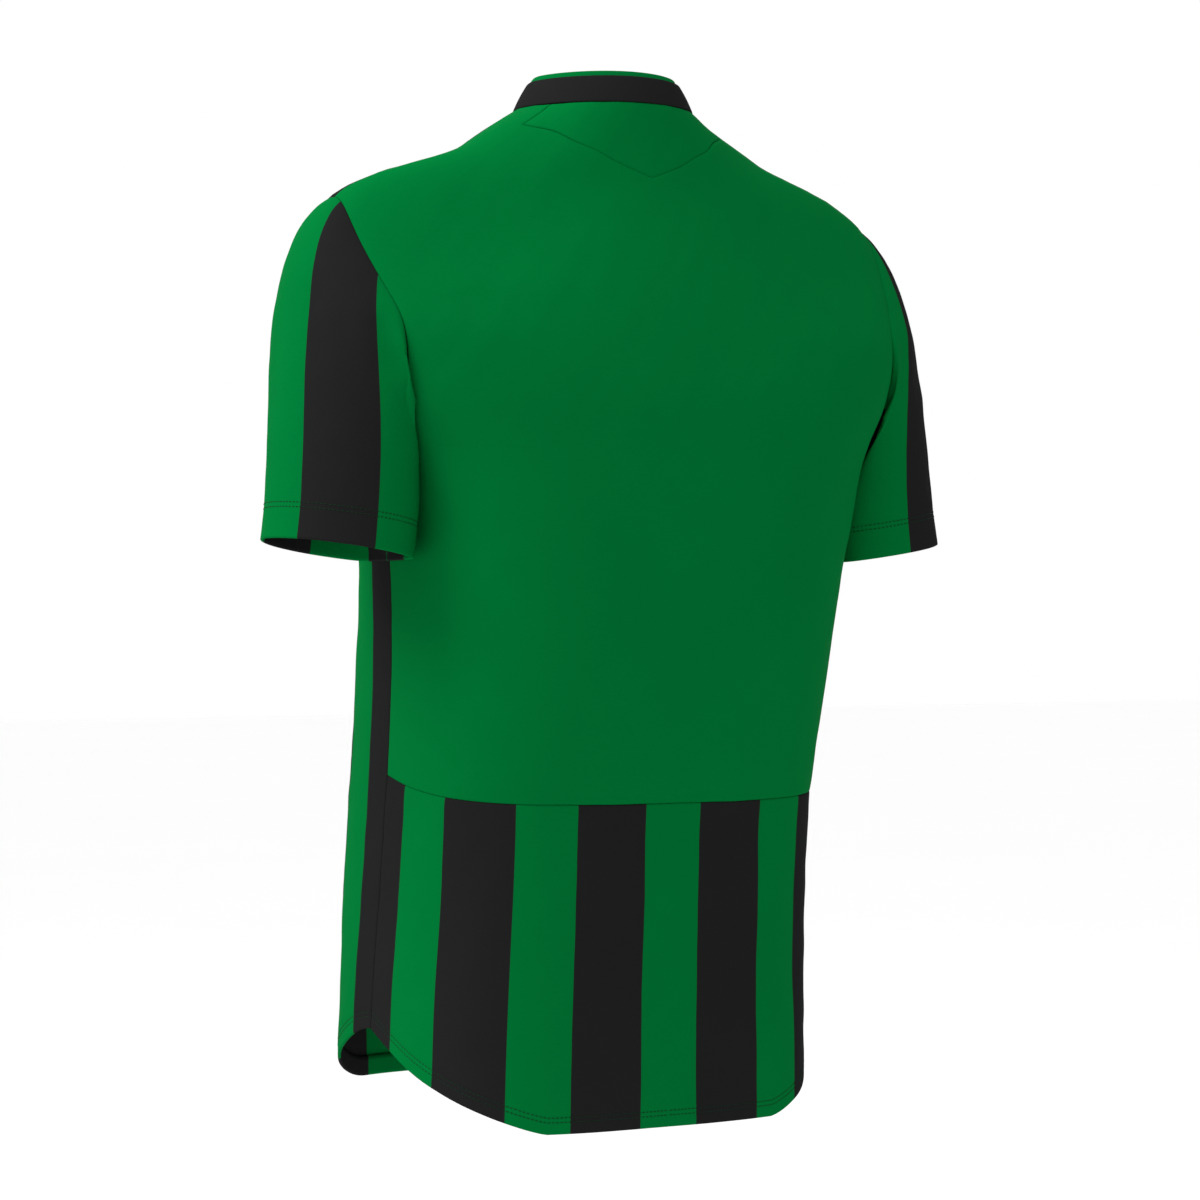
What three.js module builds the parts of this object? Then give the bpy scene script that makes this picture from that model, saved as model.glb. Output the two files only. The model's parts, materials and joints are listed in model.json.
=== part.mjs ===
// A short-sleeved football jersey in its worn, hollow form, 1:1 in millimetres, +Z up.
// The wearer's left is +X and the front faces -Y. The origin is in the middle of the neck,
// level with the points where the shoulders meet the collar.
// Each cut piece is a thin wall of its own. The walls stand a seam's gap apart.

import * as THREE from 'three';

// Cloth
const PANEL_THICKNESS = 1.5;
const BAND_THICKNESS = 1.6;
const INNER_BAND_THICKNESS = 1.2;
const SEAM_GAP = 0.3;

// Landmarks, as millimetres measured down the centre back from the collar seam
const SHOULDER_TIP_DOWN = 106;
const ARMPIT_DOWN = 260;
const ARMHOLE_BACK_ANGLE = 37;
const ARMHOLE_FRONT_ANGLE = 31;
const SEAM_LEAN_ANGLE = 9;

// Hem and waist seam heights
const HEM_BACK_Z = -738;
const HEM_SIDE_Z = -671;
const HEM_FRONT_Z = -718;
const HEM_BACK_FLAT = 0.37;
const HEM_BACK_POWER = 1.2;
const WAIST_SEAM_Z = -507;
const WAIST_SEAM_RISE = 19;
const WAIST_SEAM_POWER = 3.5;

// Collar
const BAND_RISE_BACK = 20;
const BAND_RISE_FRONT = 16;
const BAND_LEAN = 10;
const INNER_BAND_SHOWS = 4.5;
const INNER_BAND_START = 0.12;

// Sleeve
const CUFF = { x: 226.9, y: 17.9, z: -326.8, halfWide: 54, halfDeep: 56, slopeX: 0.16, slopeY: 0.015 };
const CUFF_INNER = { halfWide: 42.5, power: 12 };
const CUFF_START_ANGLE = 5;
const CAP_SPREAD = { even: 0.72, power: 3.5 };

// How finely each piece is divided
const ARMHOLE_STEPS = 14;
const WAIST_ROWS = 7;
const TAIL_ROWS = 6;
const SHOULDER_ROWS = 6;
const NECK_ROWS = 4;
const FRONT_COLUMNS = 12;
const SHOULDER_COLUMNS = 4;
const YOKE_COLUMNS = 8;
const SLEEVE_ROWS = 10;
const BAND_ROWS = 3;

const COLOURS = {
  green: { color: 0x00752f, roughness: 0.8, metalness: 0 },
  stripedGreen: { color: 0x0a5a2c, roughness: 0.8, metalness: 0 },
  black: { color: 0x1c1c1c, roughness: 0.8, metalness: 0 },
};

function table(columns, rows) {
  return rows.map((row) => Object.fromEntries(columns.map((name, k) => [name, row[k]])));
}

// The body is a stack of closed rings from the collar seam to below the hem. Each ring passes
// through its side, back and front points. A dip lowers it between them, and a square value is
// the exponent of its rounded-box outline.
const RING_COLUMNS = [
  'down', 'halfWidth', 'sideY', 'sideZ', 'backY', 'backZ', 'backDip', 'backSquare',
  'frontY', 'frontZ', 'frontDip', 'frontSquare', 'ease',
];
const RINGS = table(RING_COLUMNS, [
  [0, 68, 6, -5, 61, -3, 0, 2.0, -61, -43, 0, 2.0, 3.2],
  [20, 101, 14, -23, 64, -23, 9, 2.0, -76, -66, 4, 2.0, 3.0],
  [38, 127, 18, -38.5, 67, -41, 10, 2.0, -86, -82, 7, 2.0, 2.6],
  [58, 153, 18, -48, 72, -61, 13, 2.0, -95, -100, 10, 2.0, 2.4],
  [82, 191, 12, -60, 81, -84, 24, 2.1, -105, -122, 14, 2.0, 2.2],
  [106, 224, 5, -78, 91, -108, 32, 2.3, -112, -143, 18, 2.1, 2.0],
  [140, 237, 4, -108, 103, -140, 26, 2.6, -120, -168, 18, 2.1, 2.0],
  [185, 236, 4, -152, 117, -183, 12, 2.9, -127, -200, 10, 2.2, 2.0],
  [225, 218, 4, -205, 127, -222, 4, 3.1, -131, -232, 3, 2.3, 2.0],
  [260, 194, 4, -255, 130, -257, 0, 3.2, -132, -258, 0, 2.4, 2.0],
  [293, 184, 4, -290, 131, -290, 0, 3.1, -132, -290, 0, 2.5, 2.0],
  [337, 177, 1, -334, 129, -334, 0, 3.0, -133, -334, 0, 2.6, 2.0],
  [411, 170, -9, -407, 122, -407, 0, 2.9, -146, -407, 0, 2.75, 2.0],
  [488, 164.5, -25, -483, 107, -483, 0, 3.05, -154, -483, 0, 3.0, 2.0],
  [515, 163.5, -30, -509, 99, -509, 0, 3.2, -155, -509, 0, 3.2, 2.0],
  [581, 164, -38, -575, 96, -575, 0, 3.1, -157, -575, 0, 3.3, 2.0],
  [652, 166, -45, -646, 93, -646, 0, 3.1, -157, -646, 0, 3.3, 2.0],
  [748, 168, -49, -742, 92, -742, 0, 3.1, -156, -742, 0, 3.3, 2.0],
]);

// The V seam of the yoke, from its corner beside the collar to its tip on the centre back
const YOKE_SEAM = table(['share', 'angle', 'down'], [
  [0, 22, 14],
  [0.25, 45.5, 16.5],
  [0.5, 66, 30],
  [0.75, 79.5, 45],
  [1, 90, 55.5],
]);
const YOKE_NECK_ANGLE = 27;
const YOKE_FOOT_ANGLE = 30;

// The sleeve leaves the armhole along (outX, outY, outZ) and enters the cuff along its axis.
// leave and arrive are how far it holds each direction.
const SLEEVE_GUIDES = {
  top: { outX: 0.95, outY: 0, outZ: -0.52, leave: 54, arrive: 80 },
  back: { outX: 0.3, outY: 0.47, outZ: -0.95, leave: 39, arrive: 108 },
  pit: { outX: 0.7, outY: 0.05, outZ: -0.7, leave: 12, arrive: 15 },
  front: { outX: 0.44, outY: -0.34, outZ: -0.82, leave: 36, arrive: 80 },
};

const radians = THREE.MathUtils.degToRad;
const lerp = THREE.MathUtils.lerp;

function smooth(t) {
  const x = THREE.MathUtils.clamp(t, 0, 1);
  return x * x * (3 - 2 * x);
}

// A smooth value through the rows of a table, read at any place along one of its columns
function through(rows, along, place, column) {
  const last = rows.length - 2;
  let k = 0;
  while (k < last && rows[k + 1][along] < place) k += 1;
  const slope = (i) => {
    const before = rows[Math.max(i - 1, 0)];
    const after = rows[Math.min(i + 1, rows.length - 1)];
    return (after[column] - before[column]) / (after[along] - before[along]);
  };
  const [from, to] = [rows[k], rows[k + 1]];
  const width = to[along] - from[along];
  const t = (place - from[along]) / width;
  const ease = t * t * (3 - 2 * t);
  return lerp(from[column], to[column], ease)
    + width * (t * (1 - t) * (1 - t) * slope(k) - t * t * (1 - t) * slope(k + 1));
}

const ringStore = new Map();
function ringAt(down) {
  if (!ringStore.has(down)) {
    const values = RING_COLUMNS.slice(1).map((name) => [name, through(RINGS, 'down', down, name)]);
    ringStore.set(down, Object.fromEntries(values));
  }
  return ringStore.get(down);
}

// angle is 90 on the centre back, 0 on the left side seam and -90 on the centre front
function bodyPoint(angle, down) {
  const ring = ringAt(down);
  const c = Math.cos(radians(angle));
  const s = Math.sin(radians(angle));
  const isBack = s > 0;
  const square = isBack ? ring.backSquare : ring.frontSquare;
  const reach = (Math.abs(c) ** square + Math.abs(s) ** square) ** (-1 / square);
  const reachY = (isBack ? ring.backY : ring.frontY) - ring.sideY;
  const reachZ = (isBack ? ring.backZ : ring.frontZ) - ring.sideZ;
  const dip = isBack ? ring.backDip : ring.frontDip;
  const weight = Math.abs(s) ** (isBack ? 2 : ring.ease);
  return new THREE.Vector3(
    ring.halfWidth * c * reach,
    ring.sideY + reachY * Math.abs(s) * reach,
    ring.sideZ + reachZ * weight - dip * (2 * s * c) ** 2,
  );
}

function bodyNormal(angle, down) {
  const step = 0.5;
  const around = bodyPoint(angle + step, down).sub(bodyPoint(angle - step, down));
  const along = bodyPoint(angle, down + step).sub(bodyPoint(angle, down - step));
  return along.cross(around).normalize();
}

// The angle that lies a given share of the way from one angle to another, measured on the cloth
const ARC_STEP = 1.5;
function spread(down, from, to, share) {
  const count = Math.max(2, Math.ceil(Math.abs(to - from) / ARC_STEP));
  const lengths = [0];
  let last = bodyPoint(from, down);
  for (let k = 1; k <= count; k += 1) {
    const next = bodyPoint(lerp(from, to, k / count), down);
    lengths.push(lengths[k - 1] + last.distanceTo(next));
    last = next;
  }
  const goal = share * lengths[count];
  let k = 1;
  while (k < count && lengths[k] < goal) k += 1;
  const part = (goal - lengths[k - 1]) / (lengths[k] - lengths[k - 1]);
  return lerp(from, to, (k - 1 + part) / count);
}

// A sheet is the middle surface of one piece: blocks of points in rows, joined where they meet
class Sheet {
  constructor() {
    this.points = [];
    this.normals = [];
    this.faces = [];
    this.index = new Map();
  }

  vertex({ point, normal }) {
    const key = point.toArray().map((value) => Math.round(value * 200)).join();
    if (!this.index.has(key)) {
      this.index.set(key, this.points.length);
      this.points.push(point);
      this.normals.push(normal);
    }
    return this.index.get(key);
  }

  block(rows, columns, place) {
    const grid = [];
    for (let i = 0; i <= rows; i += 1) {
      grid.push([]);
      for (let j = 0; j <= columns; j += 1) grid[i].push(this.vertex(place(i, j)));
    }
    const faces = [];
    for (let i = 0; i < rows; i += 1) {
      for (let j = 0; j < columns; j += 1) {
        const [a, b, c, d] = [grid[i][j], grid[i][j + 1], grid[i + 1][j + 1], grid[i + 1][j]];
        const slash = this.points[a].distanceTo(this.points[c]) < this.points[b].distanceTo(this.points[d]);
        faces.push(...(slash ? [[a, b, c], [a, c, d]] : [[a, b, d], [b, c, d]]));
      }
    }
    const isOutward = faces.reduce((total, face) => total + this.facing(face), 0) > 0;
    const turned = isOutward ? faces : faces.map(([a, b, c]) => [a, c, b]);
    this.faces.push(...turned.filter(([a, b, c]) => a !== b && b !== c && c !== a));
    return this;
  }

  // Closes the sheet into a wall: an outer skin, an inner skin and a strip along each open edge
  wall(thickness) {
    const count = this.points.length;
    const outer = this.points.map((p, k) => p.clone().addScaledVector(this.normals[k], thickness / 2));
    const inner = this.points.map((p, k) => p.clone().addScaledVector(this.normals[k], -thickness / 2));
    const edges = new Map();
    this.faces.forEach(([a, b, c]) => [[a, b], [b, c], [c, a]].forEach(([p, q]) => {
      if (!edges.delete(`${q},${p}`)) edges.set(`${p},${q}`, [p, q]);
    }));
    const strips = [...edges.values()].flatMap(([p, q]) => [[q, p, p + count], [q, p + count, q + count]]);
    const inside = this.faces.map(([a, b, c]) => [c + count, b + count, a + count]);
    const geometry = new THREE.BufferGeometry().setFromPoints([...outer, ...inner]);
    geometry.setIndex([...this.faces, ...inside, ...strips].flat());
    geometry.computeVertexNormals();
    return geometry;
  }

  // Positive where a face turns the way that its first point faces
  facing([a, b, c]) {
    const [p, q, r] = [this.points[a], this.points[b], this.points[c]];
    return q.clone().sub(p).cross(r.clone().sub(p)).dot(this.normals[a]);
  }
}

function mirrored(point) {
  return new THREE.Vector3(-point.x, point.y, point.z);
}

// Places one point of a symmetric panel: the half with a negative side is the mirror image
function onSide(side, place) {
  const { point, normal } = place(Math.abs(side));
  return side < 0 ? { point: mirrored(point), normal: mirrored(normal) } : { point, normal };
}

const onBody = (angle, down) => ({ point: bodyPoint(angle, down), normal: bodyNormal(angle, down) });

// Heights given as z are turned into millimetres down the centre back. Below the armpit a ring
// is level, so the two differ by a fixed table alone.
function downAtZ(z) {
  let [low, high] = [ARMPIT_DOWN, RINGS[RINGS.length - 1].down];
  for (let k = 0; k < 30; k += 1) {
    const middle = (low + high) / 2;
    if (ringAt(middle).sideZ > z) low = middle;
    else high = middle;
  }
  return (low + high) / 2;
}

// share runs from 0 on the centre line to 1 on the side seam
const hemBackDown = (share) => {
  const rise = Math.max(0, (share - HEM_BACK_FLAT) / (1 - HEM_BACK_FLAT)) ** HEM_BACK_POWER;
  return downAtZ(lerp(HEM_BACK_Z, HEM_SIDE_Z, rise));
};
const hemFrontDown = (share) => downAtZ(lerp(HEM_SIDE_Z, HEM_FRONT_Z, smooth((1 - share) / 0.5)));
const waistSeamDown = (share) => downAtZ(WAIST_SEAM_Z + WAIST_SEAM_RISE * share ** WAIST_SEAM_POWER);
const sideHemDown = downAtZ(HEM_SIDE_Z);
const sideWaistDown = waistSeamDown(1);

// The armhole is an oval on the body. turn is 0 at the shoulder and pi at the armpit.
const armholeDown = (turn) => lerp(SHOULDER_TIP_DOWN, ARMPIT_DOWN, (1 - Math.cos(turn)) / 2);
const armholeBackAngle = (turn) => ARMHOLE_BACK_ANGLE * Math.sin(turn);
const armholeFrontAngle = (turn) => -ARMHOLE_FRONT_ANGLE * Math.sin(turn);
const armholeTurn = (step) => Math.PI * (step / ARMHOLE_STEPS);

// The shoulder seam leaves the armhole on the ridge and leans forward towards the collar
const shoulderAngle = (down) => -SEAM_LEAN_ANGLE * smooth((SHOULDER_TIP_DOWN - down) / 60);

// The line from the collar past the yoke's corner to the level of the shoulder tip
const yokeCorner = YOKE_SEAM[0];
function yokeSideAngle(down) {
  if (down < yokeCorner.down) return lerp(YOKE_NECK_ANGLE, yokeCorner.angle, down / yokeCorner.down);
  const t = (down - yokeCorner.down) / (SHOULDER_TIP_DOWN - yokeCorner.down);
  return lerp(yokeCorner.angle, YOKE_FOOT_ANGLE, t);
}

// Sleeve: a tube from the armhole to the cuff. column runs from -ARMHOLE_STEPS at the armpit,
// along the front, over 0 at the shoulder and along the back to the armpit again.
function sleeveGuide(turn, name) {
  const { top, back, pit, front } = SLEEVE_GUIDES;
  const middle = (top[name] + back[name] + pit[name] + front[name]) / 4;
  const upright = (top[name] - pit[name]) / 2;
  const sideways = (back[name] - front[name]) / 2;
  const oval = (top[name] + pit[name] - back[name] - front[name]) / 4;
  return middle + upright * Math.cos(turn) + sideways * Math.sin(turn) + oval * Math.cos(2 * turn);
}

function armholePlace(column) {
  const turn = armholeTurn(Math.abs(column));
  const angle = column > 0 ? armholeBackAngle(turn) : armholeFrontAngle(turn);
  return [angle, armholeDown(turn)];
}

// The share of the cuff that a column reaches, from 0 on the outside to 1 under the arm
function cuffShare(column) {
  const turn = Math.abs(column) / ARMHOLE_STEPS;
  let [low, high] = [0, 1];
  for (let k = 0; k < 30; k += 1) {
    const middle = (low + high) / 2;
    const reached = CAP_SPREAD.even * middle + (1 - CAP_SPREAD.even) * middle ** CAP_SPREAD.power;
    if (reached < turn) low = middle;
    else high = middle;
  }
  return (low + high) / 2;
}

// The inner side of the cuff is flatter, because the body is beside it
function cuffWidth(cosine) {
  const past = Math.max(0, -cosine) * CUFF.halfWide / CUFF_INNER.halfWide;
  return CUFF.halfWide * cosine * (1 + past ** CUFF_INNER.power) ** (-1 / CUFF_INNER.power);
}

function cuffPoint(column) {
  const steps = 240;
  const side = Math.sign(column) || 1;
  const at = (k) => {
    const angle = radians(CUFF_START_ANGLE) + side * Math.PI * (k / steps);
    const x = cuffWidth(Math.cos(angle));
    const y = CUFF.halfDeep * Math.sin(angle);
    return new THREE.Vector3(CUFF.x + x, CUFF.y + y, CUFF.z + CUFF.slopeX * x + CUFF.slopeY * y);
  };
  const lengths = [0];
  for (let k = 1; k <= steps; k += 1) lengths.push(lengths[k - 1] + at(k).distanceTo(at(k - 1)));
  const goal = cuffShare(column) * lengths[steps];
  let k = 1;
  while (k < steps && lengths[k] < goal) k += 1;
  return at(k).lerp(at(k - 1), (lengths[k] - goal) / (lengths[k] - lengths[k - 1]));
}

function sleeveCurve(column) {
  const turn = armholeTurn(Math.abs(column)) * (Math.sign(column) || 1);
  const from = bodyPoint(...armholePlace(column));
  const out = new THREE.Vector3(
    sleeveGuide(turn, 'outX'), sleeveGuide(turn, 'outY'), sleeveGuide(turn, 'outZ'),
  ).normalize();
  const axis = new THREE.Vector3(CUFF.slopeX, CUFF.slopeY, -1).normalize();
  const to = cuffPoint(column);
  return new THREE.CubicBezierCurve3(
    from.clone().addScaledVector(out, SEAM_GAP / 2),
    from.clone().addScaledVector(out, sleeveGuide(turn, 'leave')),
    to.clone().addScaledVector(axis, -sleeveGuide(turn, 'arrive')),
    to,
  );
}

const sleeveCurves = new Map();
function sleevePoint(column, share) {
  const wrapped = column > ARMHOLE_STEPS ? column - 2 * ARMHOLE_STEPS : column;
  const held = wrapped < -ARMHOLE_STEPS ? wrapped + 2 * ARMHOLE_STEPS : wrapped;
  if (!sleeveCurves.has(held)) sleeveCurves.set(held, sleeveCurve(held));
  return sleeveCurves.get(held).getPoint(share);
}

function sleeveNormal(column, share) {
  const step = 0.01;
  const around = sleevePoint(column + 0.5, share).sub(sleevePoint(column - 0.5, share));
  const [above, below] = [Math.max(share - step, 0), Math.min(share + step, 1)];
  const along = sleevePoint(column, below).sub(sleevePoint(column, above));
  return along.cross(around).normalize();
}

// Both sides of the armhole seam share one direction, so that their edges stay parallel
const between = (a, b) => a.clone().add(b).normalize();
const armholeNormal = (column) => between(bodyNormal(...armholePlace(column)), sleeveNormal(column, 0));

// The edge of the front (side -1) or the back (side 1) along the armhole: half a seam away from the
// hole, and at the shoulder tip and the armpit half a seam away from the other panel too
function armholeEdge(step, side) {
  const column = side * step;
  const onEdge = (at) => bodyPoint(...armholePlace(at));
  const isCorner = step === 0 || step === ARMHOLE_STEPS;
  const inward = step === 0 ? 0.5 : step - 0.5;
  const [before, after] = isCorner
    ? [onEdge(side * inward), onEdge(-side * inward)]
    : [onEdge(column - 0.5), onEdge(column + 0.5)];
  const along = before.sub(after).normalize();
  const away = along.clone().cross(bodyNormal(...armholePlace(column))).normalize();
  const holeCentre = bodyPoint(0, (SHOULDER_TIP_DOWN + ARMPIT_DOWN) / 2);
  const point = onEdge(column);
  if (away.dot(holeCentre.sub(point)) > 0) away.negate();
  point.addScaledVector(away, SEAM_GAP / 2);
  if (isCorner) point.addScaledVector(along, SEAM_GAP / 2);
  return { point, normal: armholeNormal(column) };
}

// Collar: rings that rise from the neck edge and lean inwards, with share 1 at the outer band's top
function collarRing(angle, share) {
  const base = bodyPoint(angle, 0);
  const front = smooth(-Math.sin(radians(angle)));
  const rise = lerp(BAND_RISE_BACK, BAND_RISE_FRONT, front) * share;
  const scale = 1 - (BAND_LEAN * share) / Math.hypot(base.x, base.y);
  return new THREE.Vector3(base.x * scale, base.y * scale, base.z + rise);
}

function collarNormal(angle, share) {
  const around = collarRing(angle + 1, share).sub(collarRing(angle - 1, share));
  const up = collarRing(angle, share + 0.05).sub(collarRing(angle, share - 0.05));
  return around.cross(up).normalize();
}

const collarPoint = (angle, share, inset) => (
  collarRing(angle, share).addScaledVector(collarNormal(angle, share), -inset)
);

// A panel's neck edge and the collar's foot share one direction too
const neckNormal = (angle) => between(bodyNormal(angle, 0), collarNormal(angle, 0));
const atNeck = ({ point }, angle) => ({ point, normal: neckNormal(angle) });

// Where the panels' columns meet the collar, from the centre front round the left to the back
function neckAngles() {
  const front = shoulderAngle(0);
  const steps = (from, to, count) => (
    Array.from({ length: count }, (_, k) => spread(0, from, to, k / count))
  );
  return [
    ...steps(-90, front, FRONT_COLUMNS),
    ...steps(front, YOKE_NECK_ANGLE, SHOULDER_COLUMNS),
    ...steps(YOKE_NECK_ANGLE, 90, YOKE_COLUMNS),
    90,
  ];
}

// An edge's angle, pulled back by half a seam towards another angle
function pulled(edge, towards, down) {
  const step = Math.sign(towards - edge) * 0.1;
  const width = bodyPoint(edge + step, down).distanceTo(bodyPoint(edge, down));
  return edge + (step * SEAM_GAP) / 2 / width;
}

// A point of a panel row, which runs from one angle to the seam at its outer edge
function rowPoint(down, from, edge, share) {
  return onBody(share < 1 ? spread(down, from, edge, share) : pulled(edge, from, down), down);
}

function backPanel() {
  const columns = SHOULDER_COLUMNS + YOKE_COLUMNS;
  const sheet = new Sheet();
  const cornerShare = YOKE_COLUMNS / columns;
  const footAngle = yokeSideAngle(SHOULDER_TIP_DOWN);
  // At the shoulder tip a row is divided at the foot of the line that runs down from the yoke
  const tipAngle = (share) => (share < cornerShare
    ? spread(SHOULDER_TIP_DOWN, 90, footAngle, share / cornerShare)
    : spread(SHOULDER_TIP_DOWN, footAngle, 0, (share - cornerShare) / (1 - cornerShare)));

  sheet.block(WAIST_ROWS, 2 * columns, (i, j) => onSide(j / columns - 1, (share) => {
    const seam = waistSeamDown(share) - SEAM_GAP / 2;
    const down = lerp(seam, ARMPIT_DOWN, i / WAIST_ROWS);
    if (i === WAIST_ROWS && share === 1) return armholeEdge(ARMHOLE_STEPS, 1);
    return rowPoint(down, 90, 0, share);
  }));
  sheet.block(ARMHOLE_STEPS, 2 * columns, (i, j) => onSide(j / columns - 1, (share) => {
    const step = ARMHOLE_STEPS - i;
    const down = armholeDown(armholeTurn(step));
    const edge = armholeBackAngle(armholeTurn(step));
    if (share === 1) return armholeEdge(step, 1);
    return step === 0 ? onBody(tipAngle(share), down) : rowPoint(down, 90, edge, share);
  }));
  // Shoulder strips beside the yoke, up to the collar
  const shoulderRows = SHOULDER_ROWS + NECK_ROWS;
  const rowDown = (i) => (i <= SHOULDER_ROWS
    ? lerp(SHOULDER_TIP_DOWN, yokeCorner.down, i / SHOULDER_ROWS)
    : lerp(yokeCorner.down, SEAM_GAP / 2, (i - SHOULDER_ROWS) / NECK_ROWS));
  [-1, 1].forEach((side) => {
    sheet.block(shoulderRows, SHOULDER_COLUMNS, (i, j) => onSide(side, () => {
      const down = rowDown(i);
      const edge = shoulderAngle(down);
      const inner = yokeSideAngle(down);
      const share = j / SHOULDER_COLUMNS;
      const isBesideYoke = j === 0 && i > SHOULDER_ROWS;
      if (i === 0 && share === 1) return armholeEdge(0, 1);
      const place = isBesideYoke
        ? onBody(pulled(inner, edge, down), down)
        : rowPoint(down, inner, edge, share);
      return i === shoulderRows ? atNeck(place, spread(down, inner, edge, share)) : place;
    }));
    // Under the V seam
    sheet.block(SHOULDER_ROWS, YOKE_COLUMNS, (i, j) => onSide(side, () => {
      const share = j / YOKE_COLUMNS;
      const rise = i / SHOULDER_ROWS;
      const seamAngle = through(YOKE_SEAM, 'share', 1 - share, 'angle');
      const seamDown = through(YOKE_SEAM, 'share', 1 - share, 'down');
      const foot = spread(SHOULDER_TIP_DOWN, 90, footAngle, share);
      const gap = share === 1 ? 0 : SEAM_GAP / 2;
      const down = lerp(SHOULDER_TIP_DOWN, seamDown + (i === SHOULDER_ROWS ? gap : 0), rise);
      return onBody(lerp(foot, seamAngle, rise), down);
    }));
  });
  return sheet.wall(PANEL_THICKNESS);
}

function lowerBackPanel() {
  const columns = SHOULDER_COLUMNS + YOKE_COLUMNS;
  return new Sheet().block(TAIL_ROWS, 2 * columns, (i, j) => onSide(j / columns - 1, (share) => {
    const down = lerp(hemBackDown(share), waistSeamDown(share) + SEAM_GAP / 2, i / TAIL_ROWS);
    return rowPoint(down, 90, 0, share);
  })).wall(PANEL_THICKNESS);
}

function yoke() {
  return new Sheet().block(NECK_ROWS, 2 * YOKE_COLUMNS, (i, j) => onSide(j / YOKE_COLUMNS - 1, (share) => {
    const rise = i / NECK_ROWS;
    const seamAngle = through(YOKE_SEAM, 'share', 1 - share, 'angle');
    const seamDown = through(YOKE_SEAM, 'share', 1 - share, 'down') - SEAM_GAP / 2;
    const neckAngle = spread(0, 90, YOKE_NECK_ANGLE, share);
    const down = lerp(seamDown, SEAM_GAP / 2, rise);
    const even = lerp(seamAngle, neckAngle, rise);
    const angle = share === 1 ? pulled(even, 90, down) : even;
    const place = onBody(angle, down);
    return i === NECK_ROWS ? atNeck(place, angle) : place;
  })).wall(PANEL_THICKNESS);
}

function frontPanel() {
  const sheet = new Sheet();
  const lowerRows = TAIL_ROWS + WAIST_ROWS;
  sheet.block(lowerRows, 2 * FRONT_COLUMNS, (i, j) => onSide(j / FRONT_COLUMNS - 1, (share) => {
    const sideDown = i <= TAIL_ROWS
      ? lerp(sideHemDown, sideWaistDown, i / TAIL_ROWS)
      : lerp(sideWaistDown, ARMPIT_DOWN, (i - TAIL_ROWS) / WAIST_ROWS);
    if (i === lowerRows && share === 1) return armholeEdge(ARMHOLE_STEPS, -1);
    const rise = (sideHemDown - sideDown) / (sideHemDown - ARMPIT_DOWN);
    return rowPoint(lerp(hemFrontDown(share), ARMPIT_DOWN, rise), -90, 0, share);
  }));
  sheet.block(ARMHOLE_STEPS, 2 * FRONT_COLUMNS, (i, j) => onSide(j / FRONT_COLUMNS - 1, (share) => {
    const step = ARMHOLE_STEPS - i;
    const turn = armholeTurn(step);
    if (share === 1) return armholeEdge(step, -1);
    return rowPoint(armholeDown(turn), -90, armholeFrontAngle(turn), share);
  }));
  const shoulderRows = SHOULDER_ROWS + NECK_ROWS;
  sheet.block(shoulderRows, 2 * FRONT_COLUMNS, (i, j) => onSide(j / FRONT_COLUMNS - 1, (share) => {
    const down = i <= SHOULDER_ROWS
      ? lerp(SHOULDER_TIP_DOWN, yokeCorner.down, i / SHOULDER_ROWS)
      : lerp(yokeCorner.down, SEAM_GAP / 2, (i - SHOULDER_ROWS) / NECK_ROWS);
    const edge = shoulderAngle(down);
    if (i === 0 && share === 1) return armholeEdge(0, -1);
    const place = rowPoint(down, -90, edge, share);
    return i === shoulderRows ? atNeck(place, spread(down, -90, edge, share)) : place;
  }));
  return sheet.wall(PANEL_THICKNESS);
}

function sleeve(side) {
  return new Sheet().block(SLEEVE_ROWS, 2 * ARMHOLE_STEPS, (i, j) => {
    const column = j - ARMHOLE_STEPS;
    const share = i / SLEEVE_ROWS;
    const point = sleevePoint(column, share);
    const normal = i === 0 ? armholeNormal(column) : sleeveNormal(column, share);
    return side > 0 ? { point, normal } : { point: mirrored(point), normal: mirrored(normal) };
  }).wall(PANEL_THICKNESS);
}

// A band of the collar between two heights, given as shares of the outer band's height
function collarBand(lowShare, highShare, inset, thickness) {
  const left = neckAngles();
  const right = left.slice(1, -1).reverse().map((angle) => 180 - angle);
  const angles = [...left, ...right, left[0]];
  return new Sheet().block(BAND_ROWS, angles.length - 1, (i, j) => {
    const share = lerp(lowShare, highShare, i / BAND_ROWS);
    const angle = angles[j];
    const atSeam = i === 0 && inset === 0;
    const normal = atSeam ? neckNormal(angle) : collarNormal(angle, share);
    return { point: collarPoint(angle, share, inset), normal };
  }).wall(thickness);
}

function piece(name, geometry, look) {
  const mesh = new THREE.Mesh(geometry, new THREE.MeshStandardMaterial(look));
  mesh.name = name;
  return mesh;
}

const jersey = new THREE.Group();
const bandStart = SEAM_GAP / 2 / BAND_RISE_BACK;
const innerInset = (BAND_THICKNESS + INNER_BAND_THICKNESS) / 2 + SEAM_GAP;
jersey.add(
  piece('front', frontPanel(), COLOURS.stripedGreen),
  piece('back', backPanel(), COLOURS.green),
  piece('back_lower', lowerBackPanel(), COLOURS.stripedGreen),
  piece('back_yoke', yoke(), COLOURS.green),
  piece('sleeve_left', sleeve(1), COLOURS.stripedGreen),
  piece('sleeve_right', sleeve(-1), COLOURS.stripedGreen),
  piece('collar_band', collarBand(bandStart, 1, 0, BAND_THICKNESS), COLOURS.black),
  piece(
    'collar_inner',
    collarBand(INNER_BAND_START, 1 + INNER_BAND_SHOWS / BAND_RISE_BACK, innerInset, INNER_BAND_THICKNESS),
    COLOURS.green,
  ),
);

export default jersey;
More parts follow.
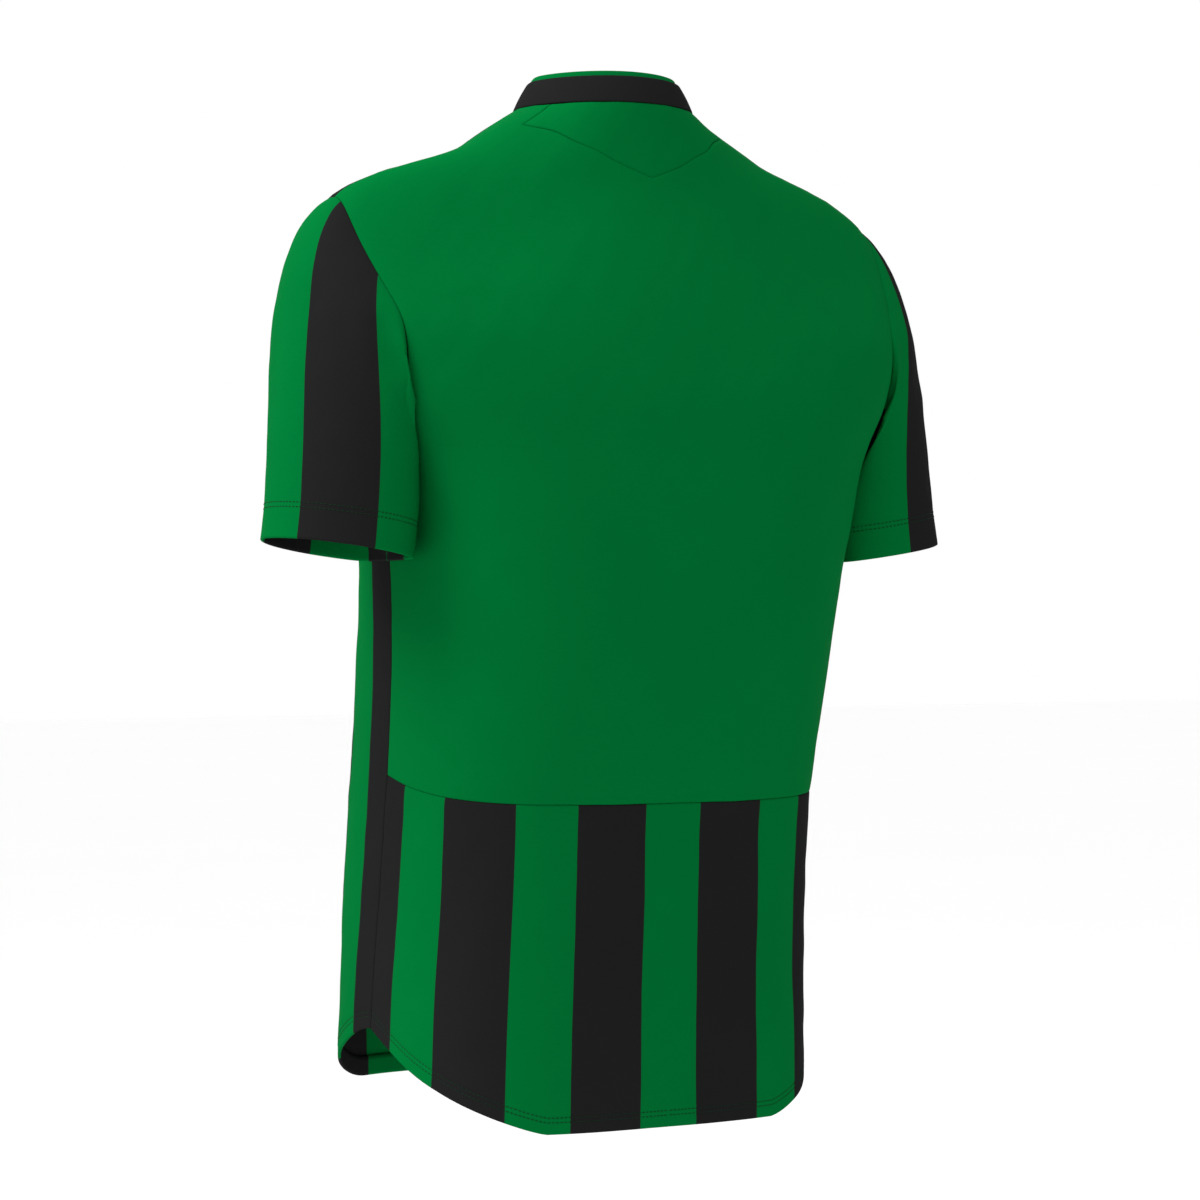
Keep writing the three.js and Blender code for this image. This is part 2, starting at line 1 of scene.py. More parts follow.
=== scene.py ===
# %% [markdown]
# # A striped football jersey, hollow and in its worn form
#
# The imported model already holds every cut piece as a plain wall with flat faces. It fixes where each
# piece goes. This script makes the cloth that is seen: smooth knit panels, turned hems with twin
# needle stitching, a banded collar and soft creases. All sizes below are in millimetres, because a
# sewing room works in them, and one factor turns them into Blender's metres.

import json
import math

import bpy
import numpy as np
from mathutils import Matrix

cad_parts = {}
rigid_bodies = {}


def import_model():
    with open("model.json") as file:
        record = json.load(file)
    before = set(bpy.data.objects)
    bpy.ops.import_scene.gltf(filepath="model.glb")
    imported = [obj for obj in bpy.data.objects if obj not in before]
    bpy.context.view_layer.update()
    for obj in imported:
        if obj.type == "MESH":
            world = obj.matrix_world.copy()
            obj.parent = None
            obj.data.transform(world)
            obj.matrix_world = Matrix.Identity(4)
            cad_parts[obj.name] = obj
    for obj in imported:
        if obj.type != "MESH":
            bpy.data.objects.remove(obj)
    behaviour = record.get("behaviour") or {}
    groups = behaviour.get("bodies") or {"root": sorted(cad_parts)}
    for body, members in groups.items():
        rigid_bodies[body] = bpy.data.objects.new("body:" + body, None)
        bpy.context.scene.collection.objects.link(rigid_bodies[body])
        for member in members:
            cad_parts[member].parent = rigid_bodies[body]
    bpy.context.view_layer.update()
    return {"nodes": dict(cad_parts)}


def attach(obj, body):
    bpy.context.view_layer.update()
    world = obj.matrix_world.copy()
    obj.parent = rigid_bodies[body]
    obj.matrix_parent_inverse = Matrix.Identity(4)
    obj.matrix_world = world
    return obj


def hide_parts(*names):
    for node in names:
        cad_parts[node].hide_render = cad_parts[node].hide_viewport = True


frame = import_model()
MM = 0.001
print("CAD nodes:", sorted(frame["nodes"]))

# %% [markdown]
# ## The body as a stack of rings
#
# A jersey that is worn has no flat side, so each of its panels lies on one smooth body surface. That
# surface could be sculpted, or lofted by a modifier, but then a stripe or a seam would have no exact
# place on it. Here it is a table of closed rings, the same one that the walls were made from. Each
# ring passes through its side, back and front points. `down` is measured from the collar seam along
# the centre back, a dip lowers a ring between its points, and a square value rounds it like a box.

# %% Rings of the body
RING_COLUMNS = (
    "down", "half_width", "side_y", "side_z", "back_y", "back_z", "back_dip", "back_square",
    "front_y", "front_z", "front_dip", "front_square", "ease",
)
RINGS = np.array([
    (0, 68, 6, -5, 61, -3, 0, 2.0, -61, -43, 0, 2.0, 3.2),
    (20, 101, 14, -23, 64, -23, 9, 2.0, -76, -66, 4, 2.0, 3.0),
    (38, 127, 18, -38.5, 67, -41, 10, 2.0, -86, -82, 7, 2.0, 2.6),
    (58, 153, 18, -48, 72, -61, 13, 2.0, -95, -100, 10, 2.0, 2.4),
    (82, 191, 12, -60, 81, -84, 24, 2.1, -105, -122, 14, 2.0, 2.2),
    (106, 224, 5, -78, 91, -108, 32, 2.3, -112, -143, 18, 2.1, 2.0),
    (140, 237, 4, -108, 103, -140, 26, 2.6, -120, -168, 18, 2.1, 2.0),
    (185, 236, 4, -152, 117, -183, 12, 2.9, -127, -200, 10, 2.2, 2.0),
    (225, 218, 4, -205, 127, -222, 4, 3.1, -131, -232, 3, 2.3, 2.0),
    (260, 194, 4, -255, 130, -257, 0, 3.2, -132, -258, 0, 2.4, 2.0),
    (293, 184, 4, -290, 131, -290, 0, 3.1, -132, -290, 0, 2.5, 2.0),
    (337, 177, 1, -334, 129, -334, 0, 3.0, -133, -334, 0, 2.6, 2.0),
    (411, 170, -9, -407, 122, -407, 0, 2.9, -146, -407, 0, 2.75, 2.0),
    (488, 164.5, -25, -483, 107, -483, 0, 3.05, -154, -483, 0, 3.0, 2.0),
    (515, 163.5, -30, -509, 99, -509, 0, 3.2, -155, -509, 0, 3.2, 2.0),
    (581, 164, -38, -575, 96, -575, 0, 3.1, -157, -575, 0, 3.3, 2.0),
    (652, 166, -45, -646, 93, -646, 0, 3.1, -157, -646, 0, 3.3, 2.0),
    (748, 168, -49, -742, 92, -742, 0, 3.1, -156, -742, 0, 3.3, 2.0),
])
SHOULDER_TIP_DOWN = 106
ARMPIT_DOWN = 260


def smooth(t):
    x = np.clip(t, 0, 1)
    return x * x * (3 - 2 * x)


def through(rows, place, column):
    """A smooth value through the rows of a table, read at any place along its first column."""
    x, y = rows[:, 0], rows[:, column]
    k = np.clip(np.searchsorted(x, place) - 1, 0, len(x) - 2)
    before, after = np.maximum(np.arange(len(x)) - 1, 0), np.minimum(np.arange(len(x)) + 1, len(x) - 1)
    slope = (y[after] - y[before]) / (x[after] - x[before])
    width = x[k + 1] - x[k]
    t = (place - x[k]) / width
    eased = y[k] + (y[k + 1] - y[k]) * t * t * (3 - 2 * t)
    return eased + width * (t * (1 - t) ** 2 * slope[k] - t * t * (1 - t) * slope[k + 1])


def body_point(angle, down):
    """angle is 90 on the centre back, 0 on the left side seam and -90 on the centre front."""
    angle, down = np.broadcast_arrays(np.asarray(angle, float), np.asarray(down, float))
    ring = {name: through(RINGS, down, k) for k, name in enumerate(RING_COLUMNS) if k}
    c, s = np.cos(np.radians(angle)), np.sin(np.radians(angle))
    is_back = s > 0
    side = {name: np.where(is_back, ring["back_" + name], ring["front_" + name])
            for name in ("y", "z", "dip", "square")}
    reach = (np.abs(c) ** side["square"] + np.abs(s) ** side["square"]) ** (-1 / side["square"])
    weight = np.abs(s) ** np.where(is_back, 2, ring["ease"])
    return np.stack([
        ring["half_width"] * c * reach,
        ring["side_y"] + (side["y"] - ring["side_y"]) * np.abs(s) * reach,
        ring["side_z"] + (side["z"] - ring["side_z"]) * weight - side["dip"] * (2 * s * c) ** 2,
    ], axis=-1)


print("chest half width:", body_point(0, ARMPIT_DOWN)[0], "mm")

# %% [markdown]
# ## Rows of a panel
#
# A panel is drawn row by row, and the points of a row are spread evenly along the cloth, the way a
# tape measure lies on it. Points crowd together close to a seam, because there the cloth turns in
# within a millimetre or two. A subdivision modifier would give the same number of faces everywhere,
# so the places are worked out by length instead.

# %% Places along a row
SEAM_GAP = 0.15
CLOTH_THICKNESS = 0.9
SEAM_STEPS = (SEAM_GAP + CLOTH_THICKNESS) / 2 + np.array([0, 0.4, 1.1, 2.4])
ROW_SAMPLES = 160


def tape(path):
    """How far each point lies from the first one, along a path or along each column of a block."""
    steps = np.linalg.norm(np.diff(path, axis=0), axis=-1)
    return np.concatenate([0 * steps[:1], steps.cumsum(axis=0)])


def at_length(place, lengths, values):
    """The three columns of values, read at a distance along their path."""
    return np.array([np.interp(place, lengths, values[:, k]) for k in range(3)])


class Columns:
    """Where the columns of a panel cross each row: shares of the row, moved on by millimetres."""

    def __init__(self, count, begins_at_seam=False, ends_at_seam=True):
        start = [(0.0, step) for step in SEAM_STEPS] if begins_at_seam else [(0.0, 0.0)]
        end = [(1.0, -step) for step in SEAM_STEPS[::-1]] if ends_at_seam else [(1.0, 0.0)]
        places = [*start, *[(k / count, 0.0) for k in range(1, count)], *end]
        self.count = count
        self.share = np.array([share for share, _ in places])
        self.shift = np.array([shift for _, shift in places])

    def across(self, length):
        """Places in millimetres. On a short row the steps off a seam move closer together."""
        first, last = SEAM_STEPS[0], SEAM_STEPS[-1]
        room = np.clip((0.8 * length / self.count - first) / (last - first), 0.02, 1)
        size = np.abs(self.shift)
        steps = np.where(size > 0, first + (size - first) * room, 0)
        return self.share * length + np.sign(self.shift) * steps

    def share_of_row(self, length):
        return np.clip(self.across(length) / length, 0, 1)


def row_angles(down, start, end, columns):
    """Angles of a row's points and their distances from its start, for each down value."""
    down, start, end = np.broadcast_arrays(np.atleast_1d(down), start, end)
    samples = np.linspace(0, 1, ROW_SAMPLES + 1)
    angles, distances = [], []
    for d, a, b in zip(down, start, end):
        lengths = tape(body_point(a + (b - a) * samples, d))
        goal = columns.across(lengths[-1])
        angles.append(a + (b - a) * np.interp(goal, lengths, samples))
        distances.append(goal)
    return np.array(angles), np.array(distances)


def steps_on_cloth(angles, downs, edge):
    """Down values whose last steps before an edge are millimetres on the cloth."""
    angles, downs, edge = np.broadcast_arrays(angles, downs, edge)
    speed = np.linalg.norm(body_point(angles, edge + 0.5) - body_point(angles, edge), axis=-1) / 0.5
    off = downs - edge
    return np.where(off <= SEAM_STEPS[-1] + 0.01, edge + off / speed, downs)


def strip(low, high, first, last, count):
    """Rows from low to high: fixed steps off each end, in millimetres, and even ones between."""
    low, high = np.broadcast_arrays(np.asarray(low, float), np.asarray(high, float))
    sign = np.sign(high - low)
    start = [low + sign * step for step in first]
    end = [high - sign * step for step in last[::-1]]
    middle = [start[-1] + (end[0] - start[-1]) * k / count for k in range(1, count)]
    return np.stack([*start, *middle, *end])


print("steps off a seam:", SEAM_STEPS, "mm")

# %% [markdown]
# ## Seam lines and hems
#
# The seams follow the real cut. The armhole is an oval on the body, the yoke ends in a V under the
# collar, the waist seam sags towards the centre back, and the shirt tail is longer behind. Each line
# is a short formula of named sizes.

# %% Seam lines and hems
ARMHOLE_BACK_ANGLE, ARMHOLE_FRONT_ANGLE = 37, 31
SEAM_LEAN_ANGLE, SEAM_LEAN_LENGTH = 9, 60
HEM_BACK_Z, HEM_SIDE_Z, HEM_FRONT_Z = -738, -671, -718
HEM_BACK_FLAT, HEM_BACK_POWER, HEM_FRONT_CURVE = 0.37, 1.2, 0.5
WAIST_SEAM_Z, WAIST_SEAM_RISE, WAIST_SEAM_POWER = -507, 19, 3.5
YOKE_SEAM = np.array([
    (0, 22, 14),
    (0.25, 45.5, 16.5),
    (0.5, 66, 30),
    (0.75, 79.5, 45),
    (1, 90, 55.5),
])
YOKE_CORNER_ANGLE, YOKE_CORNER_DOWN = YOKE_SEAM[0, 1:]
YOKE_NECK_ANGLE, YOKE_FOOT_ANGLE = 27, 30


def down_at_z(z):
    """Below the armpit a ring is level, so a height has one place down the centre back."""
    down = np.linspace(ARMPIT_DOWN, RINGS[-1, 0], 2000)
    return np.interp(-np.asarray(z, float), -through(RINGS, down, 3), down)


def hem_back_down(share):
    rise = np.maximum(0, (share - HEM_BACK_FLAT) / (1 - HEM_BACK_FLAT)) ** HEM_BACK_POWER
    return down_at_z(HEM_BACK_Z + (HEM_SIDE_Z - HEM_BACK_Z) * rise)


def hem_front_down(share):
    drop = smooth((1 - share) / HEM_FRONT_CURVE)
    return down_at_z(HEM_SIDE_Z + (HEM_FRONT_Z - HEM_SIDE_Z) * drop)


def waist_seam_down(share):
    return down_at_z(WAIST_SEAM_Z + WAIST_SEAM_RISE * share ** WAIST_SEAM_POWER)


def armhole_down(turn):
    return SHOULDER_TIP_DOWN + (ARMPIT_DOWN - SHOULDER_TIP_DOWN) * (1 - np.cos(turn)) / 2


def shoulder_angle(down):
    return -SEAM_LEAN_ANGLE * smooth((SHOULDER_TIP_DOWN - down) / SEAM_LEAN_LENGTH)


def yoke_side_angle(down):
    beside = YOKE_NECK_ANGLE + (YOKE_CORNER_ANGLE - YOKE_NECK_ANGLE) * down / YOKE_CORNER_DOWN
    t = (down - YOKE_CORNER_DOWN) / (SHOULDER_TIP_DOWN - YOKE_CORNER_DOWN)
    under = YOKE_CORNER_ANGLE + (YOKE_FOOT_ANGLE - YOKE_CORNER_ANGLE) * t
    return np.where(down < YOKE_CORNER_DOWN, beside, under)


print("waist seam at the side:", WAIST_SEAM_Z + WAIST_SEAM_RISE, "mm")

# %% [markdown]
# ## Cloth
#
# `Cloth` gathers blocks of points into one sheet without thickness, joins them where they meet, and
# later gives the sheet two faces and an edge. A Solidify modifier could do that last step, but here
# the same arrays also carry the hem and the stitching, so they stay in numpy until the mesh is final.
# Each point knows how far across and along the cloth it lies. The stripes and the knit read that.

# %% A sheet of cloth
MERGE = 0.01


def face_normals(points, quads):
    a, b, c, d = (points[quads[:, k]] for k in range(4))
    return np.cross(c - a, d - b)


def unit(vectors):
    return vectors / np.maximum(np.linalg.norm(vectors, axis=-1, keepdims=True), 1e-12)


def grid_quads(ids):
    a, b, c, d = ids[:-1, :-1], ids[:-1, 1:], ids[1:, 1:], ids[1:, :-1]
    return np.stack([a.ravel(), b.ravel(), c.ravel(), d.ravel()], axis=1)


class Cloth:
    def __init__(self, centre):
        self.centre = np.array(centre, float)
        self.blocks = []

    def add(self, points, across, along, mirrored=True):
        """One block of rows and columns, and its mirror image too where the panel has two halves."""
        across, along = (np.broadcast_to(v, points.shape[:2]) for v in (across, along))
        self.blocks.append([points, across, along])
        if mirrored:
            self.blocks.append([points * (-1, 1, 1), -across, along])

    def join(self):
        """Merges the points where blocks meet, and turns every face outwards."""
        flat = np.concatenate([block[0].reshape(-1, 3) for block in self.blocks])
        keys = np.round(flat / MERGE).astype(np.int64)
        _, first, inverse = np.unique(keys, axis=0, return_index=True, return_inverse=True)
        self.points = flat[first]
        self.across, self.along = (
            np.concatenate([block[k].ravel() for block in self.blocks])[first] for k in (1, 2)
        )
        inverse, quads, start = inverse.ravel(), [], 0
        self.ids = []
        for points, _, _ in self.blocks:
            count = points.shape[0] * points.shape[1]
            ids = inverse[start:start + count].reshape(points.shape[:2])
            faces = grid_quads(ids)
            outward = self.points[faces].mean(axis=1) - self.centre
            if (face_normals(self.points, faces) * outward).sum() < 0:
                faces = faces[:, ::-1]
            self.ids.append(ids)
            quads.append(faces)
            start += count
        self.quads = np.concatenate(quads)

    def extend(self, points, across, along, quads):
        """Adds more points and faces to the joined sheet."""
        self.points = np.concatenate([self.points, points])
        self.across = np.concatenate([self.across, across])
        self.along = np.concatenate([self.along, along])
        self.quads = np.concatenate([self.quads, quads])

    def normals(self):
        total = np.zeros_like(self.points)
        normals = face_normals(self.points, self.quads)
        for k in range(4):
            np.add.at(total, self.quads[:, k], normals)
        return unit(total)

    def open_edges(self):
        edges = np.concatenate([self.quads[:, [k, (k + 1) % 4]] for k in range(4)])
        edges = edges[edges[:, 0] != edges[:, 1]]
        known = {(a, b) for a, b in edges.tolist()}
        return np.array([(a, b) for a, b in edges.tolist() if (b, a) not in known])

    def distance_to(self, edges, reach):
        """How far each point lies from the nearest of some edges, up to reach."""
        ends = self.points[edges]
        lowest, distance = ends.reshape(-1, 3).min(axis=0), np.full(len(self.points), reach)
        cells = {}
        for k, (a, b) in enumerate(ends):
            count = max(1, int(np.linalg.norm(b - a) / reach))
            for t in range(count + 1):
                cell = ((a + (b - a) * t / count - lowest) // reach).astype(int)
                cells.setdefault(tuple(cell), set()).add(k)
        home = ((self.points - lowest) // reach).astype(int)
        for k, cell in enumerate(home):
            near = set()
            for x in (-1, 0, 1):
                for y in (-1, 0, 1):
                    for z in (-1, 0, 1):
                        near |= cells.get((cell[0] + x, cell[1] + y, cell[2] + z), set())
            if near:
                a, b = ends[list(near), 0], ends[list(near), 1]
                along = b - a
                square = np.maximum((along ** 2).sum(1), 1e-9)
                t = np.clip(((self.points[k] - a) * along).sum(1) / square, 0, 1)
                gaps = np.linalg.norm(a + along * t[:, None] - self.points[k], axis=1)
                distance[k] = min(reach, gaps.min())
        return distance

    def shell(self):
        """The sheet's two faces and the narrow strip that closes them along each open edge."""
        normals = self.normals()
        half = CLOTH_THICKNESS / 2
        points = np.concatenate([self.points + normals * half, self.points - normals * half])
        count, edges = len(self.points), self.open_edges()
        rim = np.stack([edges[:, 1], edges[:, 0], edges[:, 0] + count, edges[:, 1] + count], axis=1)
        quads = np.concatenate([self.quads, self.quads[:, ::-1] + count, rim])
        return points, quads, np.tile(self.across, 2), np.tile(self.along, 2)


def make_mesh(name, points, faces, **attributes):
    """A Blender object from arrays in millimetres, shaded smooth, with a number per point by name."""
    mesh = bpy.data.meshes.new(name)
    rings = [list(dict.fromkeys(face)) for face in faces.tolist()]
    mesh.from_pydata((np.asarray(points) * MM).tolist(), [], rings)
    for key, values in attributes.items():
        mesh.attributes.new(key, "FLOAT", "POINT").data.foreach_set("value", np.asarray(values, np.float32))
    mesh.shade_smooth()
    piece = bpy.data.objects.new(name, mesh)
    bpy.context.scene.collection.objects.link(piece)
    print(name, "has", len(mesh.polygons), "faces")
    return piece


# %% [markdown]
# ## Creases
#
# The jersey is new and hangs nearly smooth, so its creases are few: drag lines that run down from
# the armpits, slack where the sleeves fall from the shoulders, and long shallow flutes below the
# chest. A cloth simulation would blur the clean stripes and cost minutes, so each crease is placed
# one by one. It is a row of points on the surface with a width and a depth, and it fades at both ends.

# %% Creases
CREASE_FADE = 0.35
# Width, depth, and then the angle and down value of each point
BODY_CREASES = (
    (13, -1.8, (33, 236), (40, 268), (52, 306), (66, 350)),
    (10, 1.1, (26, 244), (31, 285), (40, 330), (50, 372)),
    (12, -1.6, (146, 232), (138, 266), (128, 312), (116, 352)),
    (10, 1.2, (155, 248), (149, 292), (140, 338)),
    (15, -1.4, (12, 292), (20, 352), (30, 420), (34, 470)),
    (14, 1.1, (170, 296), (162, 350), (152, 424), (148, 468)),
    (20, -1.5, (70, 410), (64, 470), (62, 540), (66, 620)),
    (18, 1.2, (104, 430), (108, 500), (110, 590), (107, 668)),
    (16, -1.1, (128, 540), (131, 610), (130, 680)),
    (17, 1.2, (44, 560), (41, 630), (43, 700)),
    (13, -1.7, (-30, 240), (-38, 276), (-50, 318), (-62, 356)),
    (13, -1.5, (-150, 238), (-141, 280), (-130, 322), (-119, 350)),
    (18, -1.4, (-74, 330), (-70, 420), (-73, 520), (-70, 610)),
    (17, 1.2, (-102, 352), (-107, 450), (-104, 560), (-108, 650)),
    (19, -1.1, (-126, 470), (-130, 560), (-127, 660)),
    (16, 1.0, (-48, 440), (-44, 530), (-47, 640)),
    (10, -1.0, (-52, 96), (-60, 128), (-70, 150)),
    (10, -0.9, (-130, 92), (-121, 126), (-112, 150)),
)


def crease_lift(points, creases):
    """How far each point moves along its normal: the sum of every crease that passes near it."""
    lift = np.zeros(len(points))
    for width, depth, path in creases:
        a, b = path[:-1], path[1:]
        lengths = np.linalg.norm(b - a, axis=1)
        start = tape(path)
        best, place = np.full(len(points), np.inf), np.zeros(len(points))
        for k in range(len(a)):
            t = np.clip((points - a[k]) @ (b[k] - a[k]) / lengths[k] ** 2, 0, 1)
            gap = np.linalg.norm(points - a[k] - t[:, None] * (b[k] - a[k]), axis=1)
            nearer = gap < best
            best = np.where(nearer, gap, best)
            place = np.where(nearer, start[k] + t * lengths[k], place)
        share = place / start[-1]
        fade = smooth(share / CREASE_FADE) * smooth((1 - share) / CREASE_FADE)
        lift += depth * np.exp(-(best / width) ** 2) * fade
    return lift


def fine_path(points, count=24):
    """A smooth path with many points through a few."""
    points = np.asarray(points, float)
    places = np.arange(len(points), dtype=float)
    rows = np.column_stack([places, points])
    at = np.linspace(0, places[-1], count)
    return np.column_stack([through(rows, at, k + 1) for k in range(points.shape[1])])


body_creases = [
    (width, depth, body_point(*fine_path(places).T)) for width, depth, *places in BODY_CREASES
]
print(len(body_creases), "creases on the body")

# %% [markdown]
# ## Finishing a panel
#
# Every panel gets the same treatment, so that neighbours still meet: the creases first, then a slow
# unevenness that no worn cloth is without, and last the seams. At a seam both panels turn inwards and
# run on for a few millimetres, side by side, as a seam allowance does. The eye sees only a thin dark
# line, and no light gets through it.

# %% Creases, slack and rolled seams
SLACK = (
    (0.35, (0.011, 0.017, 0.009), 0.4),
    (0.22, (0.031, 0.012, 0.023), 1.9),
    (0.12, (0.047, 0.052, 0.037), 4.1),
)
SEAM_ROLL_DEPTH, SEAM_ROLL_WIDTH = 0.35, 0.4
SEAM_PULL, SEAM_PULL_WIDTH, SEAM_REACH = 0.2, 4.0, 12.0
ALLOWANCE = (0.7, 1.6, 2.8)
ALLOWANCE_IN_HEM, HEM_CLEAR = 0.5, 17.0


def slack(points):
    """A slow unevenness made of three waves: height, turns per millimetre along X, Y and Z, start."""
    total = np.zeros(len(points))
    for height, turns, start in SLACK:
        wave = points * np.array(turns) * 2 * math.pi
        total += height * np.sin(wave[:, 0] + start) * np.sin(wave[:, 1] + 2 * start) * np.sin(wave[:, 2])
    return total


def settle(cloth, creases, hems=()):
    """Moves the joined sheet into its worn form, and gives each seam its allowance."""
    cloth.join()
    hem_points = {point for block in hems for point in cloth.ids[block][0].tolist()}
    edges = cloth.open_edges()
    is_hem = np.array([a in hem_points and b in hem_points for a, b in edges.tolist()])
    seams, hem_edges = edges[~is_hem], edges[is_hem]
    normals = cloth.normals()
    away = cloth.distance_to(seams, SEAM_REACH)
    sink = SEAM_ROLL_DEPTH * np.exp(-away / SEAM_ROLL_WIDTH)
    sink += SEAM_PULL * np.exp(-(away / SEAM_PULL_WIDTH) ** 2)
    lift = crease_lift(cloth.points, creases) + slack(cloth.points) - sink
    cloth.points = cloth.points + normals * lift[:, None]
    from_hem = np.full(len(cloth.points), HEM_CLEAR)
    if len(hem_edges):
        from_hem = cloth.distance_to(hem_edges, HEM_CLEAR)
    row, below = np.unique(seams), np.arange(len(cloth.points))
    for depth in ALLOWANCE:
        depths = np.where(from_hem[row] < HEM_CLEAR, np.minimum(depth, ALLOWANCE_IN_HEM), depth)
        fresh = below.copy()
        fresh[row] = len(cloth.points) + np.arange(len(row))
        a, b = seams.T
        faces = np.stack([below[b], below[a], fresh[a], fresh[b]], axis=1)
        inward = cloth.points[row] - normals[row] * depths[:, None]
        cloth.extend(inward, cloth.across[row], cloth.along[row] + depths, faces)
        below = fresh


# %% [markdown]
# ## Turned hems and twin needle stitching
#
# A hem on a knit jersey is the panel's own cloth, turned up inside and held by two rows of stitches
# a few millimetres apart. The turned part is real geometry here: the bottom row of the panel is
# carried round a fold and back up inside. The stitches are small rounded threads that follow the
# cloth. A bump map would lose them at the hem's edge, where they are seen from the side.

# %% Hems and stitches
HEM_FOLD = ((-0.1, 0.15), (-0.35, 0.65), (-0.1, 1.2), (0.6, 1.4), (2.0, 1.45), (5.0, 1.45))
STITCH_LENGTH, STITCH_SPACE, STITCH_RADIUS = 2.5, 0.6, 0.24
STITCH_SINK, STITCH_SINK_WIDTH, STITCH_SINK_REACH = 0.28, 0.75, 12
STEEPEST_HEM = 0.6
POINTS_AT_ONCE = 400
THREAD_SIDES = 6
# Place along the stitch, size and lift of each ring of a thread
THREAD_RINGS = ((-0.5, 0.25, -0.5), (-0.32, 1, 0.25), (0, 1.15, 0.5), (0.32, 1, 0.25), (0.5, 0.25, -0.5))


def up_columns(goal, heights, values):
    """Values at one height on each column of a block."""
    return np.array([at_length(goal[j], heights[:, j], values[:, j]) for j in range(len(goal))])


def turn_up(cloth, block, depth):
    """Carries row 0 of a block round a fold and up inside. HEM_FOLD is height and inward shift."""
    ids = cloth.ids[block]
    column, normals = cloth.points[ids], cloth.normals()[ids]
    heights = tape(column)
    upright = unit(column[1] - column[0])
    rows = [*HEM_FOLD, *[(depth * k / 4, HEM_FOLD[-1][1]) for k in (2, 3, 4)]]
    made = []
    for height, inward in rows:
        goal = np.full(ids.shape[1], max(height, 0))
        at, facing = (up_columns(goal, heights, values) for values in (column, normals))
        made.append(at + min(height, 0) * upright - inward * facing)
    start = len(cloth.points)
    new = np.arange(start, start + len(rows) * ids.shape[1]).reshape(len(rows), -1)
    if ids[0, 0] == ids[0, -1]:
        new[:, -1] = new[:, 0]
    faces = grid_quads(np.concatenate([ids[:1], new]))
    faces = faces if same_way_round(cloth, ids) else faces[:, ::-1]
    upward = np.array([height for height, _ in rows])[:, None]
    across, along = cloth.across[ids[0]], cloth.along[ids[0]]
    cloth.extend(np.concatenate(made), np.tile(across, len(rows)), (along + upward).ravel(), faces)


def same_way_round(cloth, ids):
    """Whether the fold's faces run the same way round as the block's own."""
    own = {tuple(q) for q in cloth.quads.tolist()}
    a, b, c, d = ids[0, 0], ids[0, 1], ids[1, 1], ids[1, 0]
    return (d, c, b, a) in own or (a, b, c, d) not in own


def hem_line(cloth, block, distance):
    """The line on a block at a distance from its hem, measured square to the hem."""
    ids = cloth.ids[block]
    column, normals = cloth.points[ids], cloth.normals()[ids]
    edge = np.gradient(column[0], axis=0)
    slant = np.linalg.norm(edge[:, :2], axis=1) / np.maximum(np.linalg.norm(edge, axis=1), 1e-9)
    goal = distance / np.maximum(slant, STEEPEST_HEM)
    at, facing = (up_columns(goal, tape(column), values) for values in (column, normals))
    return at, unit(facing)


def sink_line(cloth, line):
    """Pulls a shallow groove into the cloth along a line of stitches."""
    at = line[0]
    level = np.abs(cloth.points[:, None, 2] - at[None, ::8, 2]).min(axis=1)
    near = np.where(level < STITCH_SINK_REACH)[0]
    a, b = at[:-1], at[1:]
    along = b - a
    square = np.maximum((along ** 2).sum(axis=1), 1e-9)
    normals = cloth.normals()
    for start in range(0, len(near), POINTS_AT_ONCE):
        part = near[start:start + POINTS_AT_ONCE]
        offset = cloth.points[part][:, None] - a[None]
        t = np.clip((offset * along).sum(axis=2) / square, 0, 1)
        gap = np.linalg.norm(offset - t[..., None] * along, axis=2).min(axis=1)
        sink = STITCH_SINK * np.exp(-(gap / STITCH_SINK_WIDTH) ** 2)
        cloth.points[part] -= normals[part] * sink[:, None]


def stitches(name, lines):
    """Short rounded threads along each line, joined into one mesh."""
    turns = np.arange(THREAD_SIDES) * 2 * math.pi / THREAD_SIDES
    points, faces = [], []
    for at, facing in lines:
        lengths = tape(at)
        centres = np.arange(STITCH_LENGTH, lengths[-1] - STITCH_LENGTH / 2, STITCH_LENGTH + STITCH_SPACE)
        for centre in centres:
            middle = at_length(centre, lengths, at)
            forward = unit(at_length(centre + 0.5, lengths, at) - middle)
            aside = unit(np.cross(at_length(centre, lengths, facing), forward))
            up = np.cross(forward, aside)
            base = middle + up * (CLOTH_THICKNESS / 2 + STITCH_RADIUS * 0.1)
            points.append(np.concatenate([
                base + forward * STITCH_LENGTH * place + up * STITCH_RADIUS * lift
                + STITCH_RADIUS * size * (np.outer(np.cos(turns), aside) + np.outer(np.sin(turns), up))
                for place, size, lift in THREAD_RINGS
            ]))
            count = len(THREAD_RINGS) * THREAD_SIDES
            ids = (len(points) - 1) * count + np.arange(count).reshape(-1, THREAD_SIDES)
            faces.append(grid_quads(np.column_stack([ids, ids[:, 0]]))[:, ::-1])
            for cap in (ids[0], ids[-1][::-1]):
                faces.append(cap[[[0, 1, 2, 3], [0, 3, 4, 5]]])
    return make_mesh(name, np.concatenate(points), np.concatenate(faces))


# %% [markdown]
# ## The back
#
# The plain back is one panel from the waist seam to the collar. It has three zones. Up to the armpits
# its rows run from side seam to side seam, then from armhole to armhole, and above the shoulder tips
# it splits round the V of the yoke. Only the left half is worked out, and the other is its mirror.

